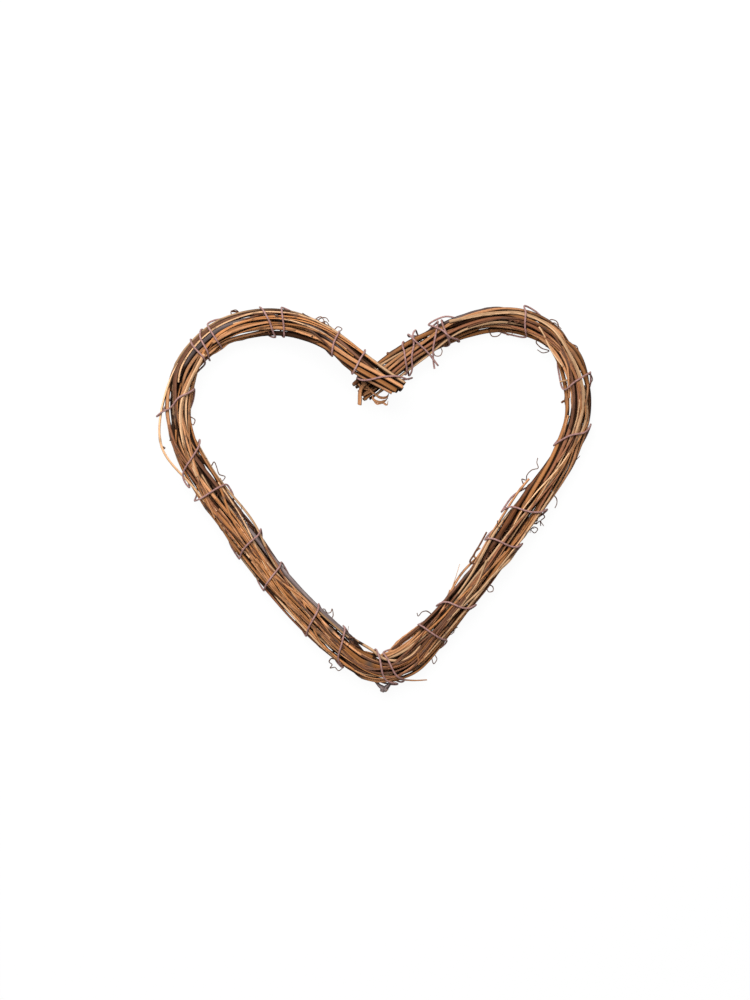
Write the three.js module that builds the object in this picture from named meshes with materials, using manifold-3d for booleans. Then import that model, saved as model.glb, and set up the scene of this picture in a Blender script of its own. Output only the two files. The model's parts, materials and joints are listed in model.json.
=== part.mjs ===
// Heart wreath: dry vines bent into a heart and bound round with paper-covered wire.
// Millimetres, +Z up. It lies flat, front up, with the heart's point towards -Y.

import * as THREE from "three";
import { mergeVertices } from "three/addons/utils/BufferGeometryUtils.js";
import Module from "manifold-3d";

const { lerp, smoothstep, degToRad } = THREE.MathUtils;

// Centre line of the bundle, from the left cut ends round the point to the right ones, and its width
const ROUTE = [
  { x: 20.5, y: 72.8, width: 20 },
  { x: -18, y: 100, width: 18 },
  { x: -47, y: 118.5, width: 18.5 },
  { x: -81, y: 123, width: 20 },
  { x: -114, y: 111.5, width: 17.5 },
  { x: -134, y: 83, width: 18.5 },
  { x: -135.8, y: 58, width: 19.5 },
  { x: -130.3, y: 32, width: 20.5 },
  { x: -104, y: -10, width: 24 },
  { x: -72, y: -52, width: 22 },
  { x: -37, y: -89, width: 21 },
  { x: -12, y: -110, width: 22 },
  { x: 7, y: -115.5, width: 23.5 },
  { x: 24, y: -108, width: 23.5 },
  { x: 47, y: -84, width: 20.5 },
  { x: 78, y: -44, width: 23 },
  { x: 109, y: -2, width: 24 },
  { x: 136, y: 43, width: 20.5 },
  { x: 140, y: 77, width: 19.5 },
  { x: 126, y: 109, width: 18.5 },
  { x: 95, y: 125, width: 19 },
  { x: 61, y: 121, width: 19.5 },
  { x: 30, y: 105, width: 21 },
  { x: -13, y: 73, width: 21 },
];
const ROUTE_SAMPLES = 1150;

// Stations are upright planes across the route, in which the vines lie side by side
const STATION_TURN = degToRad(19);
const STATION_SHORTEST = 12;
const STATION_LONGEST = 36;

// Vines of the bundle: whole ones run from cleft to cleft, the others end in a tip on the far side
const WHOLE_VINES = 9;
const LEFT_VINES = 7;
const RIGHT_VINES = 7;
const VINE_SIDES = 5;
const TIP_RADIUS = [0.7, 0.95];
const LEFT_TIPS = [470, 720];
const RIGHT_TIPS = [170, 420];
const LEFT_CUT = 6;
const LEFT_CUT_SKEW = 5;
const LEFT_CUT_SPREAD = 1.5;
const RIGHT_CUT_SPREAD = 12;
const END_INSET = 0.5;
const WHOLE_TAPER = 0.5;
const TWIST_TURNS = 0.8;
const WANDER_TURN = 0.2;
const WANDER_DEPTH = 0.2;
const WANDER_LENGTH = [190, 420];
const DEPTH_WAVES = 1.37;
const SEED = 20;

// Vines with a course of their own: marks are the distance along the route, the place across it and
// the height, and a bend is the place where an end that is bent out of the route stops
const NAMED_VINES = [
  {
    name: "old_stem",
    tone: "old",
    from: 27,
    to: 866,
    butt: 2.0,
    tip: 1.7,
    marks: [
      [0, -0.8, 0.1],
      [45, -0.8, 0.2],
      [84, 0.3, 0.8],
      [104, 0.5, 0.8],
      [142, 0.3, 0.7],
      [171, 0.4, 0.4],
      [205, 0.3, -0.3],
      [263, -0.6, -0.2],
      [299, -0.9, 0.1],
      [335, -0.98, 0.35],
      [371, -0.9, 0.4],
      [407, -0.65, 0.1],
      [445, 0.2, -0.8],
      [525, -0.5, 0.4],
      [600, -0.5, 0.4],
      [690, 0, -0.7],
      [775, 0.75, 0.3],
      [835, 0.3, -0.5],
      [882, 0, -0.6],
    ],
  },
  {
    name: "outer_runner",
    tone: "straw",
    from: 150,
    to: 345,
    butt: 0.85,
    tip: 0.7,
    marks: [
      [150, 0.7, 0.4],
      [201, 1.1, 0.2],
      [226, 1.6, 0.15],
      [263, 0.62, 0.75],
      [299, 0.35, 0.85],
      [345, 0.2, 0.85],
    ],
  },
  {
    name: "inner_runner",
    tone: "straw",
    from: 225,
    to: 410,
    butt: 0.85,
    tip: 0.7,
    marks: [
      [225, -0.6, 0.3],
      [263, -0.85, 0.4],
      [299, -1.27, 0.3],
      [335, -0.75, 0.7],
      [371, -0.8, 0.75],
      [410, -0.5, 0.7],
    ],
  },
  {
    name: "point_runner",
    tone: "orange",
    from: 390,
    to: 545,
    butt: 1.35,
    tip: 1.0,
    marks: [
      [390, 0.8, -0.1],
      [440, 1, 0],
      [458, 1.03, 0],
      [475, 1.22, 0],
      [498, 1, 0],
      [545, 0.7, 0],
    ],
  },
  {
    name: "free_tip",
    tone: "tan",
    from: 450,
    to: 613,
    butt: 1.25,
    tip: 0.75,
    marks: [
      [450, -0.5, 0.4],
      [560, -0.85, 0.4],
      [596, -0.95, 0.4],
      [613, -1.4, 0.4],
    ],
  },
  {
    name: "bent_vine",
    tone: "tan",
    from: 640,
    to: 876,
    butt: 1.0,
    tip: 1.4,
    marks: [
      [640, -0.2, 0.3],
      [760, -0.5, 0.6],
      [840, 0.1, 0.8],
      [882, 0.15, 0.85],
    ],
    bend: [-11.2, 66],
  },
];

// How the vines settle against each other
const VINE_GAP = 0.46;
const FILL = 0.48;
const SETTLE_ROUNDS = 1000;
const SMOOTHING = 0.13;
const HOLD = 0.3;
const EASE_FADE = 1.4;
const SQUEEZE = 0.3;
const HEIGHT_REACH = 2;
const END_SNAP = 6;
const PLACES_BETWEEN = [0.25, 0.5, 0.75];
const CLOSEST = 1e-6;

// Binding wire, of square section
const WIRE_HALF = 0.6;
const WIRE_GAP = 0.25;
const WIRE_CLEAR = 0.2;
const FLOOR_GAP = 0.45;
const HALF_TURN_STEPS = 6;
const CLEAR_ROUNDS = 20;
const FLAT_BAND = 0.7;
const VINE_REACH = 2;
const WIRE_REACH = 20;
const PARALLEL = 1e-9;
const SLACK_POWER = 3;
const TIE_MIDDLE_HEIGHT = 8;
// Each turn over the front: where along the route it crosses the inner edge and the outer edge, then its
// slack at the inner edge and at the outer edge
const TURNS = [
  [823, 807, 0, 0],
  [846, 832, 0, 0],
  [843, 822, 2, 3.5],
  [822, 829, 0, 0],
  [807, 805, 0, 0],
  [799, 813, 1, 0.5],
  [744, 753, 0, 0.5],
  [688, 697, 0, 0.5],
  [640, 666, 0.5, 0.5],
  [580, 604, 0.5, 1],
  [557, 574, 0, 1],
  [501, 522, 0.5, 0.5],
  [483, 490, 0.5, 0.5],
  [445, 454, 0, 0],
  [434, 451, 1, 0.2],
  [400, 421, 0, 0],
  [377, 389, 0, 0],
  [337, 347, 0.5, 0],
  [309, 319, 0.5, 0],
  [271, 269, 0, 1],
  [231, 260, 2, 1],
  [188, 213, 0, 0.5],
  [167, 160, 0.5, 0],
  [163, 152, 0, 0.5],
  [148, 148, 0.5, 0],
  [100, 116, 0.5, 0.5],
  [94, 102, 0.5, 0.5],
  [54, 62, 0, 0],
  [36, 39, 0, 0.5],
  [32, 6, 0.5, 0.5],
];
// Loose start of the wire at the inner edge of the right arm
const WIRE_TAIL = [
  [41.5, 90, 12.5],
  [40.5, 97.5, 14.5],
];
// Tied end of the wire, down past the left cut ends and under the right arm
const WIRE_TIE = [
  [24.5, 84, 21],
  [24, 84.5, 13],
  [20, 84, 4],
  [12, 84, 0.6],
  [0, 83, 0.6],
];

// Heights: the bundle lies on the wire, the right arm on two crossing turns, and the left arm over it
const FLOOR = 2 * WIRE_HALF + FLOOR_GAP;
const RIGHT_ARM_LIFT = 2 * WIRE_HALF + FLOOR_GAP;
const RIGHT_LIFT_RUN = [770, 800];
const LEFT_ARM_LIFT = 17.7;
const LEFT_LIFT_RUN = [46, 125];

// Forked stub of old wood below the heart's point
const STUB = {
  crotch: [6.2, -131.1, 9.5],
  foot: [6, -134.3, 9.5],
  arms: [
    [1.6, -129.3, 9.5],
    [10.6, -129.3, 9.5],
  ],
  armRadius: 1.3,
  crotchRadius: 2.1,
  footRadius: 2.6,
  sides: 6,
};

const TONES = {
  tan: "#a8733f",
  orange: "#a2622c",
  red: "#7d4a2b",
  straw: "#bf9a63",
  dark: "#5d3a28",
  old: "#64544f",
  wire: "#8d6a66",
};
const TONE_CYCLE = ["orange", "tan", "red", "straw", "tan", "orange", "straw", "dark", "tan"];
// Radius of an ordinary vine's thicker end, by its tone
const BUTT_RADIUS = {
  orange: [1.35, 1.9],
  red: [1.2, 1.75],
  dark: [1.1, 1.6],
  tan: [1.0, 1.4],
  straw: [0.85, 1.15],
};
const VINE_ROUGHNESS = 0.7;
const WIRE_ROUGHNESS = 0.6;
const STUB_ROUGHNESS = 0.85;

// Repeatable random numbers from 0 to 1
function seeded(seed) {
  let state = seed;
  return () => {
    state = (state + 0x6d2b79f5) | 0;
    let mixed = Math.imul(state ^ (state >>> 15), 1 | state);
    mixed = (mixed + Math.imul(mixed ^ (mixed >>> 7), 61 | mixed)) ^ mixed;
    return ((mixed ^ (mixed >>> 14)) >>> 0) / 2 ** 32;
  };
}

// Evenly spread samples of the route, each with its heading, its outward side and the bundle's half width
function sampleRoute() {
  const marks = ROUTE.map(({ x, y, width }) => new THREE.Vector3(x, y, width / 2));
  const curve = new THREE.CatmullRomCurve3(marks, false, "catmullrom", 0.5);
  const samples = [];
  let along = 0;
  for (let i = 0; i <= ROUTE_SAMPLES; i++) {
    const point = curve.getPoint(i / ROUTE_SAMPLES);
    const way = curve.getTangent(i / ROUTE_SAMPLES);
    const last = samples.at(-1);
    let heading = Math.atan2(way.y, way.x);
    if (last) {
      along += Math.hypot(point.x - last.x, point.y - last.y);
      heading += 2 * Math.PI * Math.round((last.heading - heading) / (2 * Math.PI));
    }
    const outward = new THREE.Vector3(Math.sin(heading), -Math.cos(heading), 0);
    samples.push({ along, x: point.x, y: point.y, heading, outward, halfWidth: point.z });
  }
  return samples;
}

// Stations stand closer where the route bends
function layStations(route) {
  const stations = [route[0]];
  for (const place of route) {
    const last = stations.at(-1);
    const run = place.along - last.along;
    const turn = Math.abs(place.heading - last.heading);
    if (run >= STATION_LONGEST || (run >= STATION_SHORTEST && turn >= STATION_TURN)) {
      stations.push(place);
    }
  }
  if (route.at(-1).along - stations.at(-1).along < STATION_SHORTEST) {
    stations.pop();
  }
  stations.push(route.at(-1));
  return stations.map((place) => ({ ...place, floor: floorAt(place.along) }));
}

// Height of the underside of the bundle
function floorAt(along) {
  const left = LEFT_ARM_LIFT * (1 - smoothstep(along, ...LEFT_LIFT_RUN));
  const right = RIGHT_ARM_LIFT * smoothstep(along, ...RIGHT_LIFT_RUN);
  return FLOOR + left + right;
}

// Course of an ordinary vine: a slot in the round of the bundle, slowly twisting and wandering
function slotCourse(slot, count, length, random) {
  const goldenTurn = (3 - Math.sqrt(5)) / 2;
  const depth = Math.sqrt((slot + 0.5) / count);
  const pitch = lerp(...WANDER_LENGTH, random());
  const phase = random();
  return (along) => {
    const wave = 2 * Math.PI * (along / pitch + phase);
    const turns = slot * goldenTurn + (TWIST_TURNS * along) / length + WANDER_TURN * Math.sin(wave);
    const out = Math.min(1, depth + WANDER_DEPTH * Math.cos(DEPTH_WAVES * wave));
    const angle = 2 * Math.PI * turns;
    return { across: out * Math.cos(angle), up: out * Math.sin(angle) };
  };
}

// Course of a named vine: straight between its marks, eased at each
function markedCourse(marks) {
  return (along) => {
    const next = Math.max(1, marks.findIndex(([at]) => at >= along));
    const [from, acrossFrom, upFrom] = marks[next - 1];
    const [to, acrossTo, upTo] = marks[next];
    const share = smoothstep(along, from, to);
    return { across: lerp(acrossFrom, acrossTo, share), up: lerp(upFrom, upTo, share) };
  };
}

// Every vine with its two ends, its radii, its tone and its course
function listVines(length) {
  const random = seeded(SEED);
  const between = ([low, high]) => lerp(low, high, random());
  const count = WHOLE_VINES + LEFT_VINES + RIGHT_VINES;
  const left = { kind: "left", left: LEFT_VINES };
  const right = { kind: "right", left: RIGHT_VINES };
  const whole = { kind: "whole", left: WHOLE_VINES };
  const vines = [];
  for (let slot = 0; slot < count; slot++) {
    const order = [whole, left, right];
    const family = [order[slot % 3], ...order].find((group) => group.left > 0);
    family.left -= 1;
    const course = slotCourse(slot, count, length, random);
    const tone = TONE_CYCLE[slot % TONE_CYCLE.length];
    const butt = between(BUTT_RADIUS[tone]);
    const tip = family === whole ? lerp(butt, between(TIP_RADIUS), WHOLE_TAPER) : between(TIP_RADIUS);
    const skew = LEFT_CUT - LEFT_CUT_SKEW * course(0).across;
    const leftCut = Math.max(END_INSET, skew + LEFT_CUT_SPREAD * (2 * random() - 1));
    const rightCut = length - END_INSET - RIGHT_CUT_SPREAD * random();
    vines.push({
      name: `vine_${String(slot + 1).padStart(2, "0")}`,
      tone,
      from: family === right ? between(RIGHT_TIPS) : leftCut,
      to: family === left ? between(LEFT_TIPS) : rightCut,
      radii: family === right ? [tip, butt] : [butt, tip],
      phase: random(),
      course,
    });
  }
  for (const { butt, tip, marks, ...vine } of NAMED_VINES) {
    vines.push({ ...vine, held: true, radii: [butt, tip], phase: random(), course: markedCourse(marks) });
  }
  return vines;
}

// Half height of each station's bundle, from the room that its vines need, evened out along the route
function fillStations(stations, vines) {
  const needed = stations.map((station, index) => {
    const spots = vines.map((vine) => vine.spots[index]).filter(Boolean);
    const area = spots.reduce((sum, { radius }) => sum + Math.PI * (radius + VINE_GAP / 2) ** 2, 0);
    return area / (FILL * Math.PI * station.halfWidth);
  });
  stations.forEach((station, index) => {
    const near = needed.slice(Math.max(0, index - HEIGHT_REACH), index + HEIGHT_REACH + 1);
    station.halfHeight = near.reduce((sum, height) => sum + height, 0) / near.length;
  });
}

// Pushes two sections apart until they are a gap clear of each other
function pushApart(a, b) {
  const across = b.across - a.across;
  const up = b.up - a.up;
  const distance = Math.max(CLOSEST, Math.hypot(across, up));
  const short = a.radius + b.radius + VINE_GAP - distance;
  if (short <= 0) {
    return;
  }
  const step = short / 2 / distance;
  a.across -= step * across;
  a.up -= step * up;
  b.across += step * across;
  b.up += step * up;
}

// Keeps a section inside the bundle's oval and above its floor
function keepInside(spot, station) {
  const halfWidth = station.halfWidth * spot.reach - spot.radius;
  const halfHeight = station.halfHeight - spot.radius;
  const middle = station.floor + station.halfHeight;
  const out = Math.hypot(spot.across / halfWidth, (spot.up - middle) / halfHeight);
  if (out > 1) {
    const draw = SQUEEZE * (1 / out - 1);
    spot.across += draw * spot.across;
    spot.up += draw * (spot.up - middle);
  }
  spot.up = Math.max(spot.up, station.floor + spot.radius);
}

// An end that comes close to a station ends in it
function snapEnd(end, stations) {
  return stations.find((station) => Math.abs(station.along - end) < END_SNAP)?.along ?? end;
}

// Lays every vine's sections in the stations it passes, then lets them settle side by side
function settleVines(vines, stations) {
  for (const vine of vines) {
    vine.from = snapEnd(vine.from, stations.slice(1, -1));
    vine.to = snapEnd(vine.to, stations.slice(1, -1));
    vine.spots = stations.map((station, index) => {
      const before = stations[Math.max(0, index - 1)].along;
      const after = stations[Math.min(stations.length - 1, index + 1)].along;
      if (after < vine.from || before > vine.to) {
        return null;
      }
      const grown = THREE.MathUtils.clamp((station.along - vine.from) / (vine.to - vine.from), 0, 1);
      const { across, up } = vine.course(station.along);
      return { radius: lerp(...vine.radii, grown), reach: Math.max(1, Math.abs(across)), across, up };
    });
  }
  fillStations(stations, vines);
  for (const vine of vines) {
    vine.spots.forEach((spot, index) => {
      if (spot) {
        const station = stations[index];
        spot.across *= station.halfWidth - spot.radius;
        spot.up = station.floor + station.halfHeight * (1 + spot.up);
        spot.home = { across: spot.across, up: spot.up };
      }
    });
  }
  for (let round = 0; round < SETTLE_ROUNDS; round++) {
    const ease = Math.max(0, 1 - (EASE_FADE * round) / SETTLE_ROUNDS);
    for (const { spots, held } of vines) {
      if (held) {
        drawHome(spots, HOLD * ease);
      } else {
        evenOut(spots, SMOOTHING * ease);
      }
    }
    stations.forEach((station, index) => settleStation(vines, index));
    for (const vine of vines) {
      vine.spots.forEach((spot, index) => spot && keepInside(spot, stations[index]));
    }
  }
}

// Draws each section towards the middle of its neighbours along the vine
function evenOut(spots, ease) {
  const before = spots.map((spot) => spot && { across: spot.across, up: spot.up });
  for (let i = 1; i < spots.length - 1; i++) {
    if (before[i - 1] && before[i] && before[i + 1]) {
      spots[i].across += ease * ((before[i - 1].across + before[i + 1].across) / 2 - before[i].across);
      spots[i].up += ease * ((before[i - 1].up + before[i + 1].up) / 2 - before[i].up);
    }
  }
}

// Draws each section back to the place that its vine's course gives it
function drawHome(spots, ease) {
  for (const spot of spots.filter(Boolean)) {
    spot.across += ease * (spot.home.across - spot.across);
    spot.up += ease * (spot.home.up - spot.up);
  }
}

// Parts the vines in one station, and at a few places on the way to the next one
function settleStation(vines, index) {
  const here = vines.filter((vine) => vine.spots[index]);
  for (let i = 0; i < here.length; i++) {
    for (let j = i + 1; j < here.length; j++) {
      const a = here[i].spots[index];
      const b = here[j].spots[index];
      pushApart(a, b);
      const aNext = here[i].spots[index + 1];
      const bNext = here[j].spots[index + 1];
      if (aNext && bNext) {
        PLACES_BETWEEN.forEach((share) => pushApartBetween([a, aNext], [b, bNext], share));
      }
    }
  }
}

// Parts two vines between two stations by moving both ends of each stretch
function pushApartBetween(aEnds, bEnds, share) {
  const spotOf = ([from, to]) => ({
    across: lerp(from.across, to.across, share),
    up: lerp(from.up, to.up, share),
    radius: lerp(from.radius, to.radius, share),
  });
  const a = spotOf(aEnds);
  const b = spotOf(bEnds);
  const aFrom = { ...a };
  const bFrom = { ...b };
  pushApart(a, b);
  for (const [ends, spot, from] of [[aEnds, a, aFrom], [bEnds, b, bFrom]]) {
    [1 - share, share].forEach((weight, end) => {
      ends[end].across += weight * (spot.across - from.across);
      ends[end].up += weight * (spot.up - from.up);
    });
  }
}

// Centre line of a settled vine: one joint in every station it passes and one at each end
function vineJoints(vine, stations) {
  const joints = [];
  vine.spots.forEach((spot, index) => {
    if (spot) {
      const { x, y, outward, along } = stations[index];
      const centre = new THREE.Vector3(x, y, spot.up).addScaledVector(outward, spot.across);
      joints.push({ along, centre, outward, radius: spot.radius });
    }
  });
  const trimmed = trimJoints(trimJoints(joints, vine.from).reverse(), vine.to).reverse();
  return vine.bend ? [...trimmed, bentEnd(trimmed.at(-1), vine.bend)] : trimmed;
}

// End of a vine that is bent off sideways, as high as the bend
function bentEnd(last, [x, y]) {
  const centre = new THREE.Vector3(x, y, last.centre.z);
  const way = centre.clone().sub(last.centre);
  const outward = new THREE.Vector3(way.y, -way.x, 0).normalize();
  const along = last.along + way.length();
  return { along, centre, outward, radius: last.radius };
}

// Cuts a centre line off at an end that lies between its first joints
function trimJoints(joints, end) {
  const rising = joints[0].along < joints.at(-1).along;
  const next = joints.findIndex((joint) => (rising ? joint.along > end : joint.along < end));
  const [outer, inner] = [joints[next - 1], joints[next]];
  const cut = jointBetween(outer, inner, (end - outer.along) / (inner.along - outer.along));
  return [cut, ...joints.slice(next)];
}

function jointBetween(a, b, share) {
  return {
    along: lerp(a.along, b.along, share),
    centre: a.centre.clone().lerp(b.centre, share),
    outward: a.outward.clone().lerp(b.outward, share).normalize(),
    radius: lerp(a.radius, b.radius, share),
  };
}

// Closed solid through a row of rings of corner points
function loft(rings) {
  const sides = rings[0].length;
  const points = rings.flat();
  const faces = [];
  for (let ring = 0; ring < rings.length - 1; ring++) {
    for (let side = 0; side < sides; side++) {
      const a = ring * sides + side;
      const b = ring * sides + ((side + 1) % sides);
      faces.push(a, a + sides, b, b, a + sides, b + sides);
    }
  }
  const last = (rings.length - 1) * sides;
  for (let side = 1; side < sides - 1; side++) {
    faces.push(0, side, side + 1, last, last + side + 1, last + side);
  }
  const geometry = new THREE.BufferGeometry().setFromPoints(points);
  geometry.setIndex(faces);
  geometry.computeVertexNormals();
  return geometry;
}

// Ring of corner points in the plane of two axes, running from the first axis to the second
function ringAround(centre, axisA, axisB, radius, sides, phase) {
  return Array.from({ length: sides }, (_, side) => {
    const angle = (2 * Math.PI * (side + phase)) / sides;
    const ring = centre.clone().addScaledVector(axisA, radius * Math.cos(angle));
    return ring.addScaledVector(axisB, radius * Math.sin(angle));
  });
}

const UP = new THREE.Vector3(0, 0, 1);

function vineGeometry(vine) {
  const rings = vine.joints.map(({ centre, outward, radius }) =>
    ringAround(centre, outward, UP, radius, VINE_SIDES, vine.phase),
  );
  return loft(rings);
}

// Section of the bundle at any distance along the route, as discs across and up
function bundleSection(vines, place) {
  const discs = [];
  for (const { joints } of vines) {
    const next = joints.findIndex((joint) => joint.along >= place.along);
    if (next > 0) {
      const share = (place.along - joints[next - 1].along) / (joints[next].along - joints[next - 1].along);
      const { centre, radius } = jointBetween(joints[next - 1], joints[next], share);
      const across = (centre.x - place.x) * place.outward.x + (centre.y - place.y) * place.outward.y;
      discs.push({ across, up: centre.z, radius });
    }
  }
  return discs;
}

// Point of a taut wire round the bundle, where its outer side faces an angle from outward to up
function tautPoint(vines, place, angle, stand) {
  const cos = Math.cos(angle);
  const sin = Math.sin(angle);
  const reach = (disc) => disc.across * cos + disc.up * sin + disc.radius;
  const discs = bundleSection(vines, place);
  const outermost = discs.reduce((best, disc) => (reach(disc) > reach(best) ? disc : best));
  const across = outermost.across + (outermost.radius + stand) * cos;
  const up = outermost.up + (outermost.radius + stand) * sin;
  const point = new THREE.Vector3(place.x, place.y, up).addScaledVector(place.outward, across);
  const away = place.outward.clone().multiplyScalar(cos).addScaledVector(UP, sin);
  return { point, away };
}

// Course of the binding wire: tail, turns over the front and back of the bundle, and the tie at the cleft
function wireCourse(vines, route) {
  const placeAt = (along) => route.find((place) => place.along >= along) ?? route.at(-1);
  const stand = WIRE_HALF + WIRE_GAP;
  const course = WIRE_TAIL.map((spot) => ({ point: new THREE.Vector3(...spot), away: UP.clone() }));
  TURNS.forEach(([inner, outer, innerSlack, outerSlack], turn) => {
    const next = TURNS[turn + 1];
    const steps = next ? 2 * HALF_TURN_STEPS : HALF_TURN_STEPS + 1;
    for (let step = turn === 0 ? 1 : 0; step < steps; step++) {
      const angle = Math.PI * (1 - step / HALF_TURN_STEPS);
      const front = step < HALF_TURN_STEPS;
      const share = front ? step / HALF_TURN_STEPS : step / HALF_TURN_STEPS - 1;
      const along = front ? lerp(inner, outer, share) : lerp(outer, next?.[0] ?? outer, share);
      const outwards = Math.cos(angle);
      const slack = Math.abs(outwards) ** SLACK_POWER * (outwards > 0 ? outerSlack : innerSlack);
      course.push(tautPoint(vines, placeAt(along), angle, stand + slack));
    }
  });
  const middle = new THREE.Vector3(...WIRE_TIE.at(-1)).setZ(TIE_MIDDLE_HEIGHT);
  for (const spot of WIRE_TIE) {
    const point = new THREE.Vector3(...spot);
    course.push({ point, away: point.clone().sub(middle).normalize() });
  }
  return course;
}

// Nearest approach of two straight stretches, and where along each it is
function nearest(a, b, c, d) {
  const along = b.clone().sub(a);
  const other = d.clone().sub(c);
  const between = a.clone().sub(c);
  const aa = along.dot(along);
  const oo = other.dot(other);
  const ao = along.dot(other);
  const ab = along.dot(between);
  const ob = other.dot(between);
  const spread = aa * oo - ao * ao;
  const clamp = (value) => THREE.MathUtils.clamp(value, 0, 1);
  let share = spread > PARALLEL ? clamp((ao * ob - ab * oo) / spread) : 0;
  const otherShare = clamp((ao * share + ob) / oo);
  share = clamp((ao * otherShare - ab) / aa);
  const gap = a.clone().addScaledVector(along, share).sub(c.clone().addScaledVector(other, otherShare));
  return { distance: gap.length(), share, otherShare };
}

// Lifts the wire clear of every vine and of its own earlier turns
function clearWire(course, vines) {
  const vineStretches = vines.flatMap(({ joints }) =>
    joints.slice(1).map((joint, index) => ({ from: joints[index], to: joint })),
  );
  const corner = WIRE_HALF * Math.SQRT2;
  for (let round = 0; round < CLEAR_ROUNDS; round++) {
    for (let i = 0; i < course.length - 1; i++) {
      const start = course[i];
      const end = course[i + 1];
      for (const { from, to } of vineStretches) {
        const reach = from.centre.distanceTo(to.centre) + start.point.distanceTo(end.point);
        if (from.centre.distanceTo(start.point) < reach + VINE_REACH) {
          const near = nearest(start.point, end.point, from.centre, to.centre);
          const radius = lerp(from.radius, to.radius, near.otherShare);
          lift(start, end, near, radius + corner + WIRE_CLEAR);
        }
      }
      for (let j = 0; j < i - 1; j++) {
        if (course[j].point.distanceTo(start.point) < WIRE_REACH) {
          const near = nearest(start.point, end.point, course[j].point, course[j + 1].point);
          lift(start, end, near, 2 * corner + WIRE_CLEAR);
        }
      }
    }
    for (const { point } of course) {
      point.z = Math.max(point.z, WIRE_HALF);
    }
  }
  for (const knot of course) {
    if (knot.point.z < WIRE_HALF + FLAT_BAND) {
      knot.point.z = WIRE_HALF;
      knot.away.set(0, 0, -1);
    }
  }
}

// Moves a stretch of wire outwards where it comes closer than it should
function lift(start, end, near, clear) {
  const short = clear - near.distance;
  if (short > 0) {
    start.point.addScaledVector(start.away, short * (1 - near.share));
    end.point.addScaledVector(end.away, short * near.share);
  }
}

// Square section carried along the wire's course, level where the wire lies on the ground
function wireGeometry(course) {
  const rings = course.map(({ point, away }, index) => {
    const before = course[Math.max(0, index - 1)].point;
    const after = course[Math.min(course.length - 1, index + 1)].point;
    const way = after.clone().sub(before);
    if (point.z === WIRE_HALF) {
      way.setZ(0);
    }
    way.normalize();
    const side = away.clone().cross(way).normalize();
    const out = way.clone().cross(side).normalize();
    return ringAround(point, out, side, WIRE_HALF * Math.SQRT2, 4, 0.5);
  });
  return loft(rings);
}

// Straight tapered rod between two points
function rod(from, to, radiusFrom, radiusTo) {
  const start = new THREE.Vector3(...from);
  const end = new THREE.Vector3(...to);
  const way = end.clone().sub(start).normalize();
  const side = UP.clone().cross(way).normalize();
  const out = way.clone().cross(side).normalize();
  return loft([
    ringAround(start, out, side, radiusFrom, STUB.sides, 0.5),
    ringAround(end, out, side, radiusTo, STUB.sides, 0.5),
  ]);
}

// Joins closed geometries that run into each other to one closed geometry
async function joinSolids(geometries) {
  const wasm = await Module();
  wasm.setup();
  const solids = geometries.map((geometry) => {
    const bare = geometry.clone();
    bare.deleteAttribute("normal");
    const merged = mergeVertices(bare);
    return new wasm.Manifold(
      new wasm.Mesh({
        numProp: 3,
        vertProperties: new Float32Array(merged.attributes.position.array),
        triVerts: new Uint32Array(merged.index.array),
      }),
    );
  });
  const mesh = solids.reduce((whole, solid) => whole.add(solid)).getMesh();
  const joined = new THREE.BufferGeometry();
  joined.setAttribute("position", new THREE.BufferAttribute(mesh.vertProperties, 3));
  joined.setIndex(new THREE.BufferAttribute(mesh.triVerts, 1));
  joined.computeVertexNormals();
  return joined;
}

async function stubGeometry() {
  const arms = STUB.arms.map((arm) => rod(arm, STUB.crotch, STUB.armRadius, STUB.crotchRadius));
  return joinSolids([rod(STUB.crotch, STUB.foot, STUB.crotchRadius, STUB.footRadius), ...arms]);
}

function piece(name, geometry, tone, roughness) {
  const material = new THREE.MeshStandardMaterial({ color: TONES[tone], roughness, metalness: 0 });
  const mesh = new THREE.Mesh(geometry, material);
  mesh.name = name;
  return mesh;
}

// The wreath stands on its lowest point with its origin below the middle of its box
async function makeWreath() {
  const route = sampleRoute();
  const stations = layStations(route);
  const vines = listVines(route.at(-1).along);
  settleVines(vines, stations);
  for (const vine of vines) {
    vine.joints = vineJoints(vine, stations);
  }
  const course = wireCourse(vines, route);
  clearWire(course, vines);
  const wreath = new THREE.Group();
  wreath.name = "heart_wreath";
  for (const vine of vines) {
    wreath.add(piece(vine.name, vineGeometry(vine), vine.tone, VINE_ROUGHNESS));
  }
  wreath.add(piece("binding_wire", wireGeometry(course), "wire", WIRE_ROUGHNESS));
  wreath.add(piece("forked_stub", await stubGeometry(), "old", STUB_ROUGHNESS));
  const box = new THREE.Box3().setFromObject(wreath);
  const middle = box.getCenter(new THREE.Vector3());
  wreath.position.set(-middle.x, -middle.y, -box.min.z);
  return wreath;
}

export default await makeWreath();
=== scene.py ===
import json
import math
from typing import NamedTuple

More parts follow.
